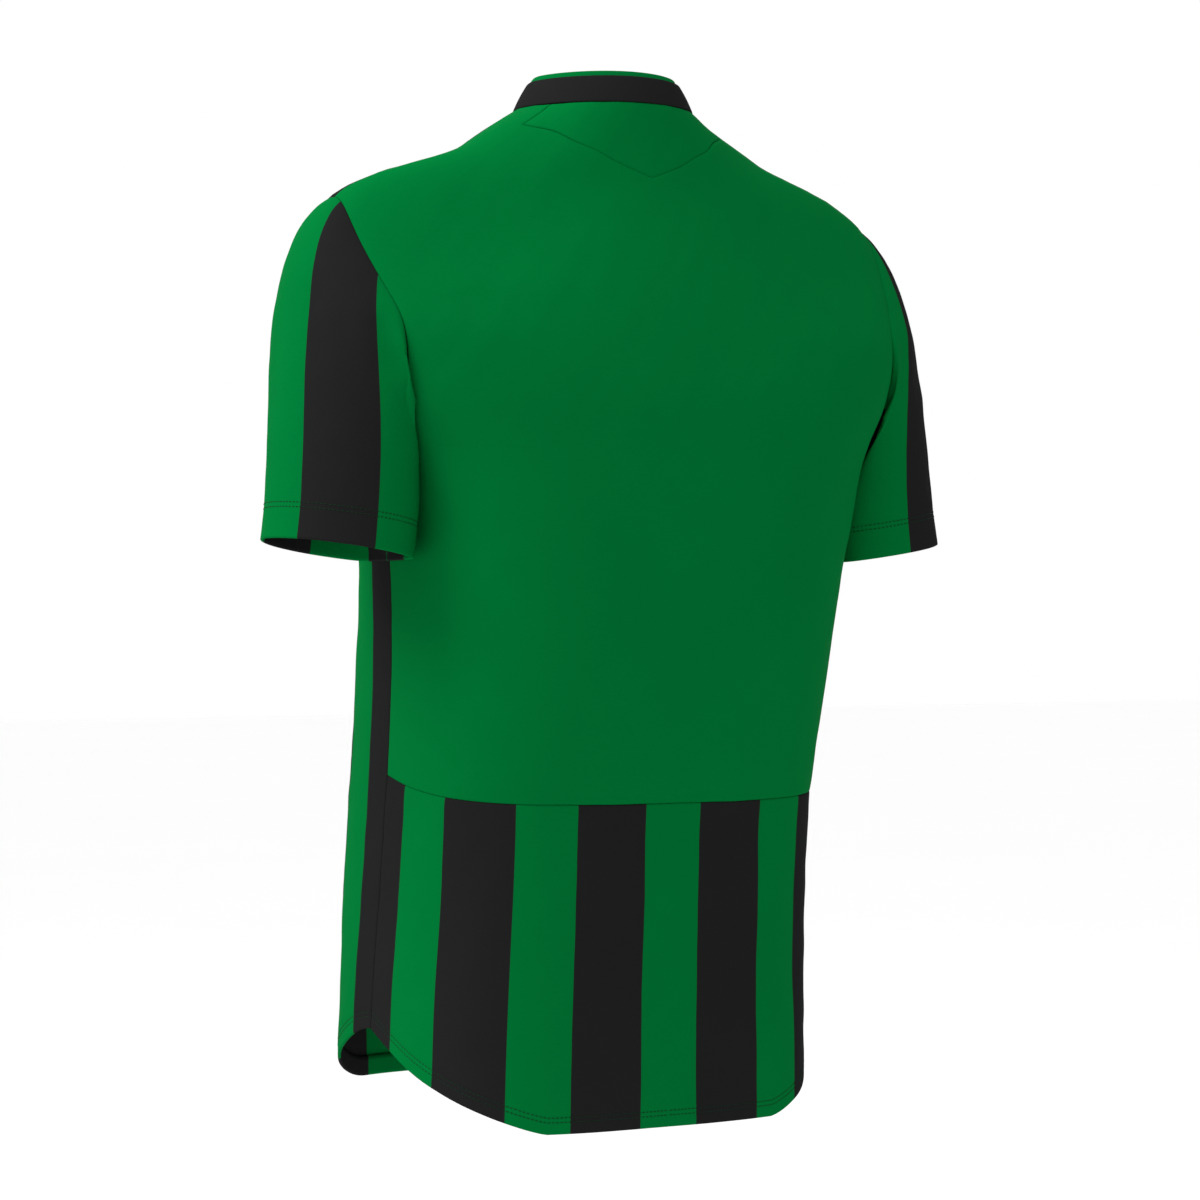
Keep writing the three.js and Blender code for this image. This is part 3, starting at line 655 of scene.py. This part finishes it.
# %% Back panel
BACK_ROWS, ARMHOLE_ROWS, SHOULDER_ROWS, NECK_ROWS = 50, 44, 22, 5
BACK_ROW_LENGTH, LEVELS = 260, 90
UNDER_YOKE_STEPS = [0.0, *SEAM_STEPS[1:]]
yoke_part = Columns(40, ends_at_seam=False)
shoulder_part = Columns(16, begins_at_seam=True)
yoke_foot = yoke_side_angle(np.float64(SHOULDER_TIP_DOWN))
inner_tip, inner_across = (row[0] for row in row_angles(SHOULDER_TIP_DOWN, 90, yoke_foot, yoke_part))
outer_tip = row_angles(SHOULDER_TIP_DOWN, yoke_foot, 0, shoulder_part)[0][0]


def joined_columns(inner, outer, inner_length, outer_length):
    """Two stretches of columns as one, with the shares that they have on the shoulder tip row."""
    made = Columns(1)
    length = inner_length + outer_length
    places = inner_length + outer.across(outer_length)
    places[0] = inner_length
    from_end = len(SEAM_STEPS)
    made.share = np.concatenate([inner.share[:-1] * inner_length / length, places / length])
    made.share[-from_end:] = 1
    made.shift = np.zeros(len(made.share))
    made.shift[-from_end:] = outer.shift[-from_end:]
    made.count = outer.count * length / outer_length
    return made


tip_row = body_point(np.linspace(yoke_foot, 0, ROW_SAMPLES + 1), SHOULDER_TIP_DOWN)
back_columns = joined_columns(yoke_part, shoulder_part, inner_across[-1], tape(tip_row)[-1])
back_share = back_columns.share_of_row(BACK_ROW_LENGTH)


def level_block(columns, low, high, first, last, count, centre):
    """A block under the armpit, whose rows need not be level: each point keeps its column's share."""
    downs = strip(low, high, first, last, count)
    levels = np.linspace(ARMPIT_DOWN, RINGS[-1, 0], LEVELS)
    angle, across = (
        np.stack([np.interp(downs[:, j], levels, v[:, j]) for j in range(downs.shape[1])], axis=1)
        for v in row_angles(levels, centre, 0, columns)
    )
    return body_point(angle, downs), across, downs


def armhole_block(columns, edge_angle, centre):
    turns = np.linspace(math.pi, 0, ARMHOLE_ROWS + 1)
    downs = armhole_down(turns)
    edges = np.sign(-centre) * -edge_angle * np.sin(turns)
    angles, distances = row_angles(downs, centre, edges, columns)
    return angles, distances, downs[:, None] + 0 * angles


def back_panel():
    cloth = Cloth((0, -20, -300))
    waist = waist_seam_down(back_share)
    rows = level_block(back_columns, waist, ARMPIT_DOWN, SEAM_STEPS, [0.0], BACK_ROWS, 90)
    cloth.add(*rows)
    angles, across, downs = armhole_block(back_columns, ARMHOLE_BACK_ANGLE, 90)
    angles[-1] = np.concatenate([inner_tip[:-1], [yoke_foot], outer_tip[1:]])
    cloth.add(body_point(angles, downs), across, downs)

    below = strip(SHOULDER_TIP_DOWN, YOKE_CORNER_DOWN, [0.0], UNDER_YOKE_STEPS, SHOULDER_ROWS)
    beside = strip(YOKE_CORNER_DOWN, 0, [0.0], SEAM_STEPS, NECK_ROWS)
    downs = np.concatenate([below, beside[1:]])
    inner = yoke_side_angle(downs)
    angles, across = row_angles(downs, inner, shoulder_angle(downs), shoulder_part)
    angles[:len(below), 0] = inner[:len(below)]
    downs = steps_on_cloth(angles, downs[:, None], 0.0)
    cloth.add(body_point(angles, downs), across + inner_across[-1], downs)

    share = 1 - yoke_part.across(1)
    seam_angle, seam_down = (through(YOKE_SEAM, share, k) for k in (1, 2))
    gap = np.where(share == 0, 0, SEAM_GAP / 2)
    drop = strip(SHOULDER_TIP_DOWN, seam_down + gap, [0.0], UNDER_YOKE_STEPS, SHOULDER_ROWS)
    rise = (SHOULDER_TIP_DOWN - drop) / (SHOULDER_TIP_DOWN - seam_down - gap)
    angles = inner_tip + (seam_angle - inner_tip) * rise
    cloth.add(body_point(angles, drop), inner_across, drop)
    settle(cloth, body_creases)
    return cloth


back_cloth = back_panel()
print("back:", len(back_cloth.quads), "quads,", len(back_cloth.open_edges()), "edges on its seams")

# %% [markdown]
# ## The yoke, the lower back and the front
#
# The yoke is a small V of the same plain cloth. The lower back carries the stripes and the long
# tail. The front is one striped panel from hem to collar, and no photo shows its face, so it stays as
# plain as the cut allows.

# %% Yoke, lower back and front
HEM_ROWS = np.array([0, 0.5, 1.4, 2.8, 4.6, 6.2, 7.1, 7.8, 8.5, 9.6, 10.7, 11.4, 12.1, 13.2, 16, 20])
YOKE_ROWS, LOWER_ROWS, FRONT_ROWS, FRONT_SHOULDER_ROWS = 12, 46, 92, 26
FRONT_ROW_LENGTH, YOKE_ROW_LENGTH = 232, 105
STRIPE_SPAN = 255
front_columns = Columns(56)
front_share = front_columns.share_of_row(FRONT_ROW_LENGTH)


def back_yoke():
    cloth = Cloth((0, -20, -120))
    columns = Columns(40)
    share = 1 - columns.share_of_row(YOKE_ROW_LENGTH)
    seam_angle, seam_down = (through(YOKE_SEAM, share, k) for k in (1, 2))
    neck_angle, across = row_angles(0.0, 90, YOKE_NECK_ANGLE, columns)
    downs = strip(seam_down, 0, SEAM_STEPS, SEAM_STEPS, YOKE_ROWS)
    rise = (downs[0] - downs) / (downs[0] - downs[-1])
    angles = seam_angle + (neck_angle[0] - seam_angle) * rise
    downs = steps_on_cloth(angles, downs, 0.0)
    cloth.add(body_point(angles, downs), across[0], downs)
    settle(cloth, body_creases)
    return cloth


def lower_back():
    cloth = Cloth((0, -20, -600))
    hem, waist = hem_back_down(back_share), waist_seam_down(back_share)
    points, across, downs = level_block(back_columns, hem, waist, HEM_ROWS, SEAM_STEPS, LOWER_ROWS, 90)
    cloth.add(points, across / across.max(axis=1, keepdims=True) * STRIPE_SPAN, downs)
    settle(cloth, body_creases, hems=(0, 1))
    return cloth


def front_panel():
    cloth = Cloth((0, -20, -300))
    hem = hem_front_down(front_share)
    points, across, downs = level_block(front_columns, hem, ARMPIT_DOWN, HEM_ROWS, [0.0], FRONT_ROWS, -90)
    cloth.add(points, across / across.max(axis=1, keepdims=True) * STRIPE_SPAN, downs)
    scale = STRIPE_SPAN / across[-1].max()
    angles, across, downs = armhole_block(front_columns, ARMHOLE_FRONT_ANGLE, -90)
    cloth.add(body_point(angles, downs), across * scale, downs)
    downs = strip(SHOULDER_TIP_DOWN, 0, [0.0], SEAM_STEPS, FRONT_SHOULDER_ROWS)
    angles, across = row_angles(downs, -90, shoulder_angle(downs), front_columns)
    downs = steps_on_cloth(angles, downs[:, None], 0.0)
    cloth.add(body_point(angles, downs), across * scale, downs)
    settle(cloth, body_creases, hems=(0, 1))
    return cloth


yoke_cloth = back_yoke()
lower_cloth = lower_back()
front_cloth = front_panel()
print("front:", len(front_cloth.quads), "quads")

# %% Body hems
BODY_HEM_DEPTH, BODY_HEM_LINES = 14, (7.8, 11.1)


def sew_hem(cloth, blocks, depth, distances):
    """Sinks the stitch lines of a hem into the cloth, turns the hem up and returns the lines."""
    places = [(block, distance) for block in blocks for distance in distances]
    for line in [hem_line(cloth, *place) for place in places]:
        sink_line(cloth, line)
    sunk = [hem_line(cloth, *place) for place in places]
    for block in blocks:
        turn_up(cloth, block, depth)
    return sunk


hem_threads = {
    name: sew_hem(cloth, (0, 1), BODY_HEM_DEPTH, BODY_HEM_LINES)
    for name, cloth in (("back_lower", lower_cloth), ("front", front_cloth))
}
print("hem lines on the body:", sum(len(lines) for lines in hem_threads.values()))

# %% [markdown]
# ## The sleeves
#
# A set-in sleeve is a tube that grows out of the armhole. Each of its lengthwise lines leaves the
# armhole along a guide, falls under its own weight and enters the cuff along its axis. A cubic curve
# with two handles says just that. A green stripe runs down the middle of the sleeve. The stripes lean
# near the armhole, more on the right sleeve than on the left, because the photo shows them so.

# %% Sleeve surface
CUFF_X, CUFF_Y, CUFF_Z = 226.9, 17.9, -326.8
CUFF_HALF_WIDE, CUFF_HALF_DEEP = 54, 56
CUFF_INNER_HALF_WIDE, CUFF_INNER_POWER = 42.5, 12
CUFF_SLOPE_X, CUFF_SLOPE_Y = 0.16, 0.015
CUFF_START_ANGLE = 5
CAP_EVEN, CAP_POWER = 0.72, 3.5
GUIDES = {
    "top": (0.95, 0, -0.52, 54, 80),
    "back": (0.3, 0.47, -0.95, 39, 108),
    "pit": (0.7, 0.05, -0.7, 12, 15),
    "front": (0.44, -0.34, -0.82, 36, 80),
}
SLEEVE_COLUMNS, SLEEVE_ROWS = 60, 66
CUFF_SAMPLES, SPREAD_SAMPLES = 721, 400


def guide(turn):
    """Way out of the armhole and both handle lengths, blended round the armhole."""
    top, back, pit, front = (np.array(GUIDES[name], float) for name in ("top", "back", "pit", "front"))
    turn = np.asarray(turn)[:, None]
    return ((top + back + pit + front) / 4 + (top - pit) / 2 * np.cos(turn)
            + (back - front) / 2 * np.sin(turn) + (top + pit - back - front) / 4 * np.cos(2 * turn))


def cuff_points(share):
    """Points of the cuff, where share runs from 0 outside to 1 under the arm and is negative in front."""
    turns = np.linspace(-math.pi, math.pi, CUFF_SAMPLES)
    angle = math.radians(CUFF_START_ANGLE) + turns
    past = np.maximum(0, -np.cos(angle)) * CUFF_HALF_WIDE / CUFF_INNER_HALF_WIDE
    x = CUFF_HALF_WIDE * np.cos(angle) * (1 + past ** CUFF_INNER_POWER) ** (-1 / CUFF_INNER_POWER)
    y = CUFF_HALF_DEEP * np.sin(angle)
    ring = np.stack([CUFF_X + x, CUFF_Y + y, CUFF_Z + CUFF_SLOPE_X * x + CUFF_SLOPE_Y * y], axis=1)
    lengths = tape(ring)
    middle = lengths[len(lengths) // 2]
    goal = np.where(share < 0, middle + share * middle, middle + share * (lengths[-1] - middle))
    return at_length(goal, lengths, ring).T, goal - middle


def sleeve_grid():
    shares = np.linspace(-1, 1, 2 * SLEEVE_COLUMNS + 1)
    reached = np.linspace(0, 1, SPREAD_SAMPLES)
    spread = CAP_EVEN * reached + (1 - CAP_EVEN) * reached ** CAP_POWER
    turn = shares * math.pi
    angles = np.where(shares > 0, ARMHOLE_BACK_ANGLE, ARMHOLE_FRONT_ANGLE) * np.sin(turn)
    start = body_point(angles, armhole_down(np.abs(turn)))
    cuff_share = np.sign(shares) * np.interp(np.abs(shares), spread, reached)
    end, arc = cuff_points(cuff_share)
    values = guide(turn)
    out = unit(values[:, :3])
    axis = unit(np.array([CUFF_SLOPE_X, CUFF_SLOPE_Y, -1.0]))
    p0 = start + out * SEAM_STEPS[0]
    p1, p2 = start + out * values[:, 3:4], end - axis * values[:, 4:5]
    length = np.linalg.norm(end - start, axis=1).mean()
    lead, tail = SEAM_STEPS - SEAM_STEPS[0], CUFF_ROWS
    t = strip(0, 1, lead / length, tail / length, SLEEVE_ROWS)[:, None, None]
    grid = (1 - t) ** 3 * p0 + 3 * t * (1 - t) ** 2 * p1 + 3 * t * t * (1 - t) * p2 + t ** 3 * end
    return grid, arc, t[:, 0, 0] * length


CUFF_HEM_DEPTH, CUFF_HEM_LINES = 25, (21.2, 24.5)
CUFF_ROWS = np.array([0, 0.5, 1.4, 2.8, 5, 9, 14, 18.6, 20.2, 21.2, 22.2, 23.5, 24.5, 25.5, 27.2, 30])
STRIPE_SCALE_TOP, STRIPE_SCALE_CUFF = 1.04, 0.98
STRIPE_FRONT_EXTRA, STRIPE_BACK_EXTRA = 17, 16
STRIPE_BACK_START, STRIPE_EXTRA_WIDTH = 90, 20
STRIPE_LEAN = {"left": 7, "right": 60}
STRIPE_LEAN_ENDS, STRIPE_LEAN_SIDE, STRIPE_LEAN_FADE = 0.55, 60, 40
# Width, depth, and then the place round the sleeve and down it of each point
SLEEVE_CREASES = (
    (9, -1.6, (0.34, 0.18), (0.40, 0.34), (0.47, 0.52)),
    (10, 1.3, (0.24, 0.20), (0.29, 0.40), (0.33, 0.62)),
    (11, -1.3, (0.10, 0.30), (0.13, 0.48), (0.17, 0.66)),
    (10, -1.5, (-0.36, 0.16), (-0.41, 0.34), (-0.46, 0.55)),
    (12, 1.2, (-0.22, 0.30), (-0.25, 0.50), (-0.27, 0.70)),
    (9, -1.4, (0.62, 0.16), (0.66, 0.36), (0.70, 0.58)),
    (12, -1.0, (-0.08, 0.42), (-0.06, 0.62), (-0.09, 0.80)),
)


def sleeve_stripes(arc, down, lean):
    """Place in the stripe pattern, for the way round the sleeve and the share of its length."""
    scale = STRIPE_SCALE_TOP + (STRIPE_SCALE_CUFF - STRIPE_SCALE_TOP) * down ** 3
    front = STRIPE_FRONT_EXTRA * smooth(-arc / STRIPE_EXTRA_WIDTH)
    back = STRIPE_BACK_EXTRA * smooth((arc - STRIPE_BACK_START) / STRIPE_EXTRA_WIDTH)
    beside = 1 - smooth((arc - STRIPE_LEAN_SIDE) / STRIPE_LEAN_FADE)
    fade = np.maximum(0, 1 - down / STRIPE_LEAN_ENDS) ** 3 * beside
    return arc * scale + (front - back) + lean * fade


def sleeve(lean):
    cloth = Cloth((CUFF_X, CUFF_Y, -230))
    grid, arc, along = sleeve_grid()
    grid, along = grid[::-1], along[::-1, None]
    cloth.add(grid, sleeve_stripes(arc[None], along / along.max(), lean), along, mirrored=False)
    height, width = grid.shape[0] - 1, grid.shape[1] - 1
    creases = []
    for size, depth, *places in SLEEVE_CREASES:
        path = fine_path(places)
        rows = np.clip(((1 - path[:, 1]) * height).round().astype(int), 0, height)
        cols = np.clip(((path[:, 0] + 1) / 2 * width).round().astype(int), 0, width)
        creases.append((size, depth, fine_path(grid[rows, cols][::4], 24)))
    settle(cloth, creases, hems=(0,))
    return cloth, sew_hem(cloth, (0,), CUFF_HEM_DEPTH, CUFF_HEM_LINES)


sleeves = {side: sleeve(lean) for side, lean in STRIPE_LEAN.items()}
print("sleeve:", len(sleeves["left"][0].quads), "quads")

# %% [markdown]
# ## The collar
#
# The collar is two flat bands: a black one outside, and a green one inside that stands a few
# millimetres above it. Each is swept round the neck as a closed profile, with a rounded top edge and
# a slight belly, which a plain extruded strip would lack.

# %% Collar bands
BAND_RISE_BACK, BAND_RISE_FRONT, BAND_LEAN = 20, 16, 10
INNER_BAND_SHOWS, INNER_BAND_START = 4.5, 0.12
BAND_THICKNESS, INNER_BAND_THICKNESS = 1.6, 1.2
BAND_BELLY, BAND_ALLOWANCE = 0.5, 2.4
COLLAR_COLUMNS, COLLAR_SAMPLES = 240, 1441
BAND_SIDE_ROWS, BAND_ROUND_ROWS = 12, 6


def collar_ring(angle, share):
    base = body_point(angle, 0.0)
    front = smooth(-np.sin(np.radians(angle)))
    rise = (BAND_RISE_BACK + (BAND_RISE_FRONT - BAND_RISE_BACK) * front) * share
    scale = 1 - BAND_LEAN * share / np.hypot(base[..., 0], base[..., 1])
    return np.stack([base[..., 0] * scale, base[..., 1] * scale, base[..., 2] + rise], axis=-1)


def collar_normal(angle, share):
    around = collar_ring(angle + 1, share) - collar_ring(angle - 1, share)
    up = collar_ring(angle, share + 0.05) - collar_ring(angle, share - 0.05)
    return unit(np.cross(around, up))


def band(name, low, high, inset, thickness, belly, reach):
    """A closed band: up the outside, over a round top edge, down inside and out along its allowance."""
    path = np.linspace(-90, 270, COLLAR_SAMPLES)
    ring = collar_ring(path, 0.0)
    lengths = tape(ring)
    arc = np.linspace(0, lengths[-1], COLLAR_COLUMNS + 1)
    angle = np.interp(arc, lengths, path)
    half = thickness / 2
    cap = half / BAND_RISE_BACK
    sides = np.linspace(0, 1, BAND_SIDE_ROWS + 1)
    turns = np.radians(np.linspace(0, 180, BAND_ROUND_ROWS + 1))
    outside = [(low + cap + (high - low - 2 * cap) * t, half + belly * math.sin(math.pi * t)) for t in sides]
    top = [(high - cap + cap * math.sin(t), half * math.cos(t)) for t in turns[1:-1]]
    inside = [(share, -half) for share, _ in outside[::-1]]
    foot = [(low + cap - cap * math.sin(t), -half * math.cos(t)) for t in turns[1:-1]]
    flange = [(low + 2 * cap * share, -half - reach) for share in (1, 0)] if reach else []
    profile = [*outside, *top, *inside, *flange, *foot, outside[0]]
    points = np.stack([
        collar_ring(angle, share) + collar_normal(angle, share) * (shift - inset) for share, shift in profile
    ])
    height = np.array([share * BAND_RISE_BACK for share, _ in profile])
    cloth = Cloth((0, 0, 0))
    cloth.add(points, arc, height[:, None], mirrored=False)
    cloth.join()
    quad = cloth.quads[:1]
    facing = face_normals(cloth.points, quad)[0]
    if facing @ (cloth.points[quad[0]].mean(axis=0) * (1, 1, 0)) < 0:
        cloth.quads = cloth.quads[:, ::-1]
    return make_mesh(name, cloth.points, cloth.quads, across=cloth.across, along=cloth.along)


inner_inset = (BAND_THICKNESS + INNER_BAND_THICKNESS) / 2 + SEAM_GAP
band_start = SEAM_GAP / 2 / BAND_RISE_BACK
collar_band = band("collar_band_knit", band_start, 1, 0, BAND_THICKNESS, BAND_BELLY, BAND_ALLOWANCE)
collar_inner = band(
    "collar_inner_knit", INNER_BAND_START, 1 + INNER_BAND_SHOWS / BAND_RISE_BACK, inner_inset,
    INNER_BAND_THICKNESS, 0, 0,
)

# %% Panels and stitches as objects
def panel(name, cloth, sign=1):
    """The cloth of a panel as an object, or its mirror image where the sign is -1."""
    points, quads, across, along = cloth.shell()
    return make_mesh(name + "_knit", points * (sign, 1, 1), quads[:, ::sign], across=across, along=along)


panels = {}
for name, cloth in (
    ("front", front_cloth), ("back", back_cloth), ("back_lower", lower_cloth), ("back_yoke", yoke_cloth),
):
    panels[name] = panel(name, cloth)
threads = {
    "front": stitches("front_hem_stitches", hem_threads["front"]),
    "back_lower": stitches("back_hem_stitches", hem_threads["back_lower"]),
}
for side, sign in (("left", 1), ("right", -1)):
    cloth, cuff_threads = sleeves[side]
    panels["sleeve_" + side] = panel("sleeve_" + side, cloth, sign)
    lines = [(at * (sign, 1, 1), facing * (sign, 1, 1)) for at, facing in cuff_threads]
    threads["sleeve_" + side] = stitches(f"sleeve_{side}_stitches", lines)

# %% [markdown]
# ## Shader maths as expressions
#
# A node tree drawn by hand is hard to read back. `Shade` wraps one socket, so that an expression on
# values adds the Math nodes that it needs, and one method adds any other node.

# %% Shader expressions
class Shade:
    def __init__(self, tree, socket=None):
        self.tree = tree
        self.socket = socket

    def node(self, kind, settings=None, inputs=None, output=0):
        """Adds a node: its settings first, and then the values or links of its sockets."""
        made = self.tree.nodes.new(kind)
        for name, value in (settings or {}).items():
            setattr(made, name, value)
        for key, value in (inputs or {}).items():
            if isinstance(value, Shade):
                self.tree.links.new(value.socket, made.inputs[key])
            else:
                made.inputs[key].default_value = value
        return Shade(self.tree, made.outputs[output] if made.outputs else None)

    def math(self, operation, *values):
        return self.node("ShaderNodeMath", {"operation": operation}, dict(enumerate(values)))

    def __add__(self, other):
        return self.math("ADD", self, other)

    __radd__ = __add__

    def __sub__(self, other):
        return self.math("SUBTRACT", self, other)

    def __rsub__(self, other):
        return self.math("SUBTRACT", other, self)

    def __mul__(self, other):
        return self.math("MULTIPLY", self, other)

    __rmul__ = __mul__

    def __gt__(self, other):
        return self.math("GREATER_THAN", self, other)

    def mix(self, first, second):
        """first where this value is 0 and second where it is 1, as colours."""
        return self.node("ShaderNodeMix", {"data_type": "RGBA"}, {0: self, 6: first, 7: second}, 2)


# %% [markdown]
# ## Knit cloth
#
# The cloth is a fine polyester knit: matt, with rows of tiny V-shaped loops. The loops are a bump
# worked out from each point's place across and along the cloth, so they follow the panel and need no
# UV map. The stripes are dyed in, so they change colour and not height.

# %% Materials
GREEN = (0.0, 0.104, 0.0202)
BLACK = (0.0096, 0.0096, 0.0099)
GREEN_DYE, BLACK_DYE = (GREEN, 0.9, 1.1), (BLACK, 0.85, 1.2)
DYES = {"green": [GREEN_DYE], "black": [BLACK_DYE], "striped": [GREEN_DYE, BLACK_DYE]}
STRIPE_REPEAT, GREEN_HALF = 102, 23.3
LOOP_WIDTH, LOOP_HEIGHT = 1.1, 0.9


def tinted(colour, factor):
    return (*[channel * factor for channel in colour], 1)


def new_finish(name):
    """A material without nodes, and a handle that adds them."""
    material = bpy.data.materials.new(name)
    material.use_nodes = True
    material.node_tree.nodes.clear()
    return material, Shade(material.node_tree)


def surface(start, inputs):
    shader = start.node("ShaderNodeBsdfPrincipled", None, inputs)
    start.node("ShaderNodeOutputMaterial", None, {"Surface": shader})


def knit(name, dye, roughness, loop=1.0):
    material, start = new_finish(name)
    across = start.node("ShaderNodeAttribute", {"attribute_name": "across"}, output=2)
    along = start.node("ShaderNodeAttribute", {"attribute_name": "along"}, output=2)
    where = start.node("ShaderNodeTexCoord", output=3)
    blotch = start.node("ShaderNodeTexNoise", None, {"Vector": where, "Scale": 9.0, "Detail": 3.0})
    fleck = start.node("ShaderNodeTexNoise", None, {"Vector": where, "Scale": 900.0, "Detail": 2.0})
    uneven = blotch * 0.6 + fleck * 0.4
    dyed = [uneven.mix(tinted(colour, low), tinted(colour, high)) for colour, low, high in DYES[dye]]
    colour = dyed[0]
    if len(dyed) > 1:
        colour = (across.math("PINGPONG", across, STRIPE_REPEAT / 2) > GREEN_HALF).mix(*dyed)
    wale = across.math("PINGPONG", across * (1 / (LOOP_WIDTH * loop)), 0.5)
    course = along * (1 / (LOOP_HEIGHT * loop)) + wale * 1.4
    loops = wale.math("SINE", wale * 2 * math.pi) * 0.5 + course.math("SINE", course * 2 * math.pi) * 0.5
    bump = loops.node("ShaderNodeBump", None, {
        "Strength": 0.35, "Distance": 0.00012, "Height": loops + fleck * 0.5,
    })
    surface(start, {
        "Base Color": colour, "Roughness": roughness + (uneven - 0.5) * 0.1, "Normal": bump,
        "Specular IOR Level": 0.003,
    })
    return material


def thread_material(name, colour):
    material, start = new_finish(name)
    where = start.node("ShaderNodeTexCoord", output=3)
    shade = start.node(
        "ShaderNodeTexWave", {"bands_direction": "DIAGONAL"}, {"Vector": where, "Scale": 1200.0}, 1,
    )
    bump = shade.node("ShaderNodeBump", None, {"Strength": 0.3, "Distance": 0.0001, "Height": shade})
    surface(start, {
        "Base Color": shade.mix(tinted(colour, 0.8), tinted(colour, 1.2)), "Roughness": 0.7, "Normal": bump,
        "Specular IOR Level": 0.03,
    })
    return material


SLOTS = {
    "front": "striped_knit", "back": "plain_knit", "back_lower": "striped_knit", "back_yoke": "plain_knit",
    "sleeve_left": "striped_knit", "sleeve_right": "striped_knit",
    "collar_band": "black_band", "collar_inner": "green_band",
}
finishes = {
    "striped_knit": knit("striped knit", "striped", 0.72),
    "plain_knit": knit("plain green knit", "green", 0.72),
    "black_band": knit("black band", "black", 0.75, 0.8),
    "green_band": knit("green band", "green", 0.75, 0.8),
}
thread = thread_material("thread", (0.005, 0.022, 0.009))
pieces = {**panels, "collar_band": collar_band, "collar_inner": collar_inner}
for name, piece in pieces.items():
    piece.data.materials.append(finishes[SLOTS[name]])
for piece in threads.values():
    piece.data.materials.append(thread)
print("materials:", [material.name for material in bpy.data.materials])

# %% [markdown]
# ## Attach each piece
#
# Every piece and each row of stitches rides on the one body, and each piece hides the CAD node that
# it stands for.

# %% Ride and replace
for name, piece in pieces.items():
    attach(piece, "root")
    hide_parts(name)
for name, piece in threads.items():
    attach(piece, "root")
for name, piece in pieces.items():
    [threads[name]] if name in threads else []
print("pieces:", sorted(piece.name for piece in pieces.values()))

# %% [markdown]
# ## Floor, light and camera
#
# The jersey hangs at the height of a standing wearer, so the floor lies far below it. Large soft
# lights and a white room give the even light of a catalogue photo, a little stronger from the left.

# %% Studio
FLOOR_Z = -1450
FLOOR_HALF = 30000
CAMERA_AZIMUTH, CAMERA_DISTANCE, CAMERA_Z = 148, 2860, -362
LENS = 116.7


def floor():
    corners = [(-1, -1), (1, -1), (1, 1), (-1, 1)]
    points = np.array([(x * FLOOR_HALF, y * FLOOR_HALF, FLOOR_Z) for x, y in corners], float)
    made = make_mesh("studio_floor", points, np.array([[0, 1, 2, 3]]))
    material, start = new_finish("pale floor")
    speck = start.node("ShaderNodeTexNoise", None, {"Scale": 40.0})
    surface(start, {"Base Color": speck.mix((0.97, 0.97, 0.97, 1), (0.99, 0.99, 0.99, 1)), "Roughness": 0.8})
    made.data.materials.append(material)


def looking_in(data, azimuth, elevation, distance):
    """A light or a camera that looks at the middle of the jersey from metres away."""
    made = bpy.data.objects.new(data.name, data)
    bpy.context.scene.collection.objects.link(made)
    a, e = math.radians(azimuth), math.radians(elevation)
    away = np.array([math.sin(a) * math.cos(e), -math.cos(a) * math.cos(e), math.sin(e)])
    made.location = away * distance + np.array([0, 0, CAMERA_Z * MM])
    made.rotation_euler = (math.pi / 2 - e, 0, a)
    return made


def area_light(name, azimuth, elevation, distance, size, power):
    data = bpy.data.lights.new(name, "AREA")
    data.shape, data.size, data.energy = "DISK", size, power
    looking_in(data, azimuth, elevation, distance)


def camera():
    data = bpy.data.cameras.new("photo camera")
    data.lens, data.clip_end = LENS, 200
    bpy.context.scene.camera = looking_in(data, CAMERA_AZIMUTH, 0, CAMERA_DISTANCE * MM)


floor()
area_light("key", CAMERA_AZIMUTH - 70, elevation=47, distance=3.2, size=2.4, power=135)
area_light("top", CAMERA_AZIMUTH - 20, elevation=75, distance=3.0, size=2.4, power=18)
camera()
world = bpy.data.worlds.new("white room")
world.use_nodes = True
world.node_tree.nodes["Background"].inputs["Color"].default_value = (1, 1, 1, 1)
world.node_tree.nodes["Background"].inputs["Strength"].default_value = 1.0
bpy.context.scene.world = world
bpy.context.scene.view_settings.view_transform = "Standard"
print("camera at", [round(v, 3) for v in bpy.context.scene.camera.location])
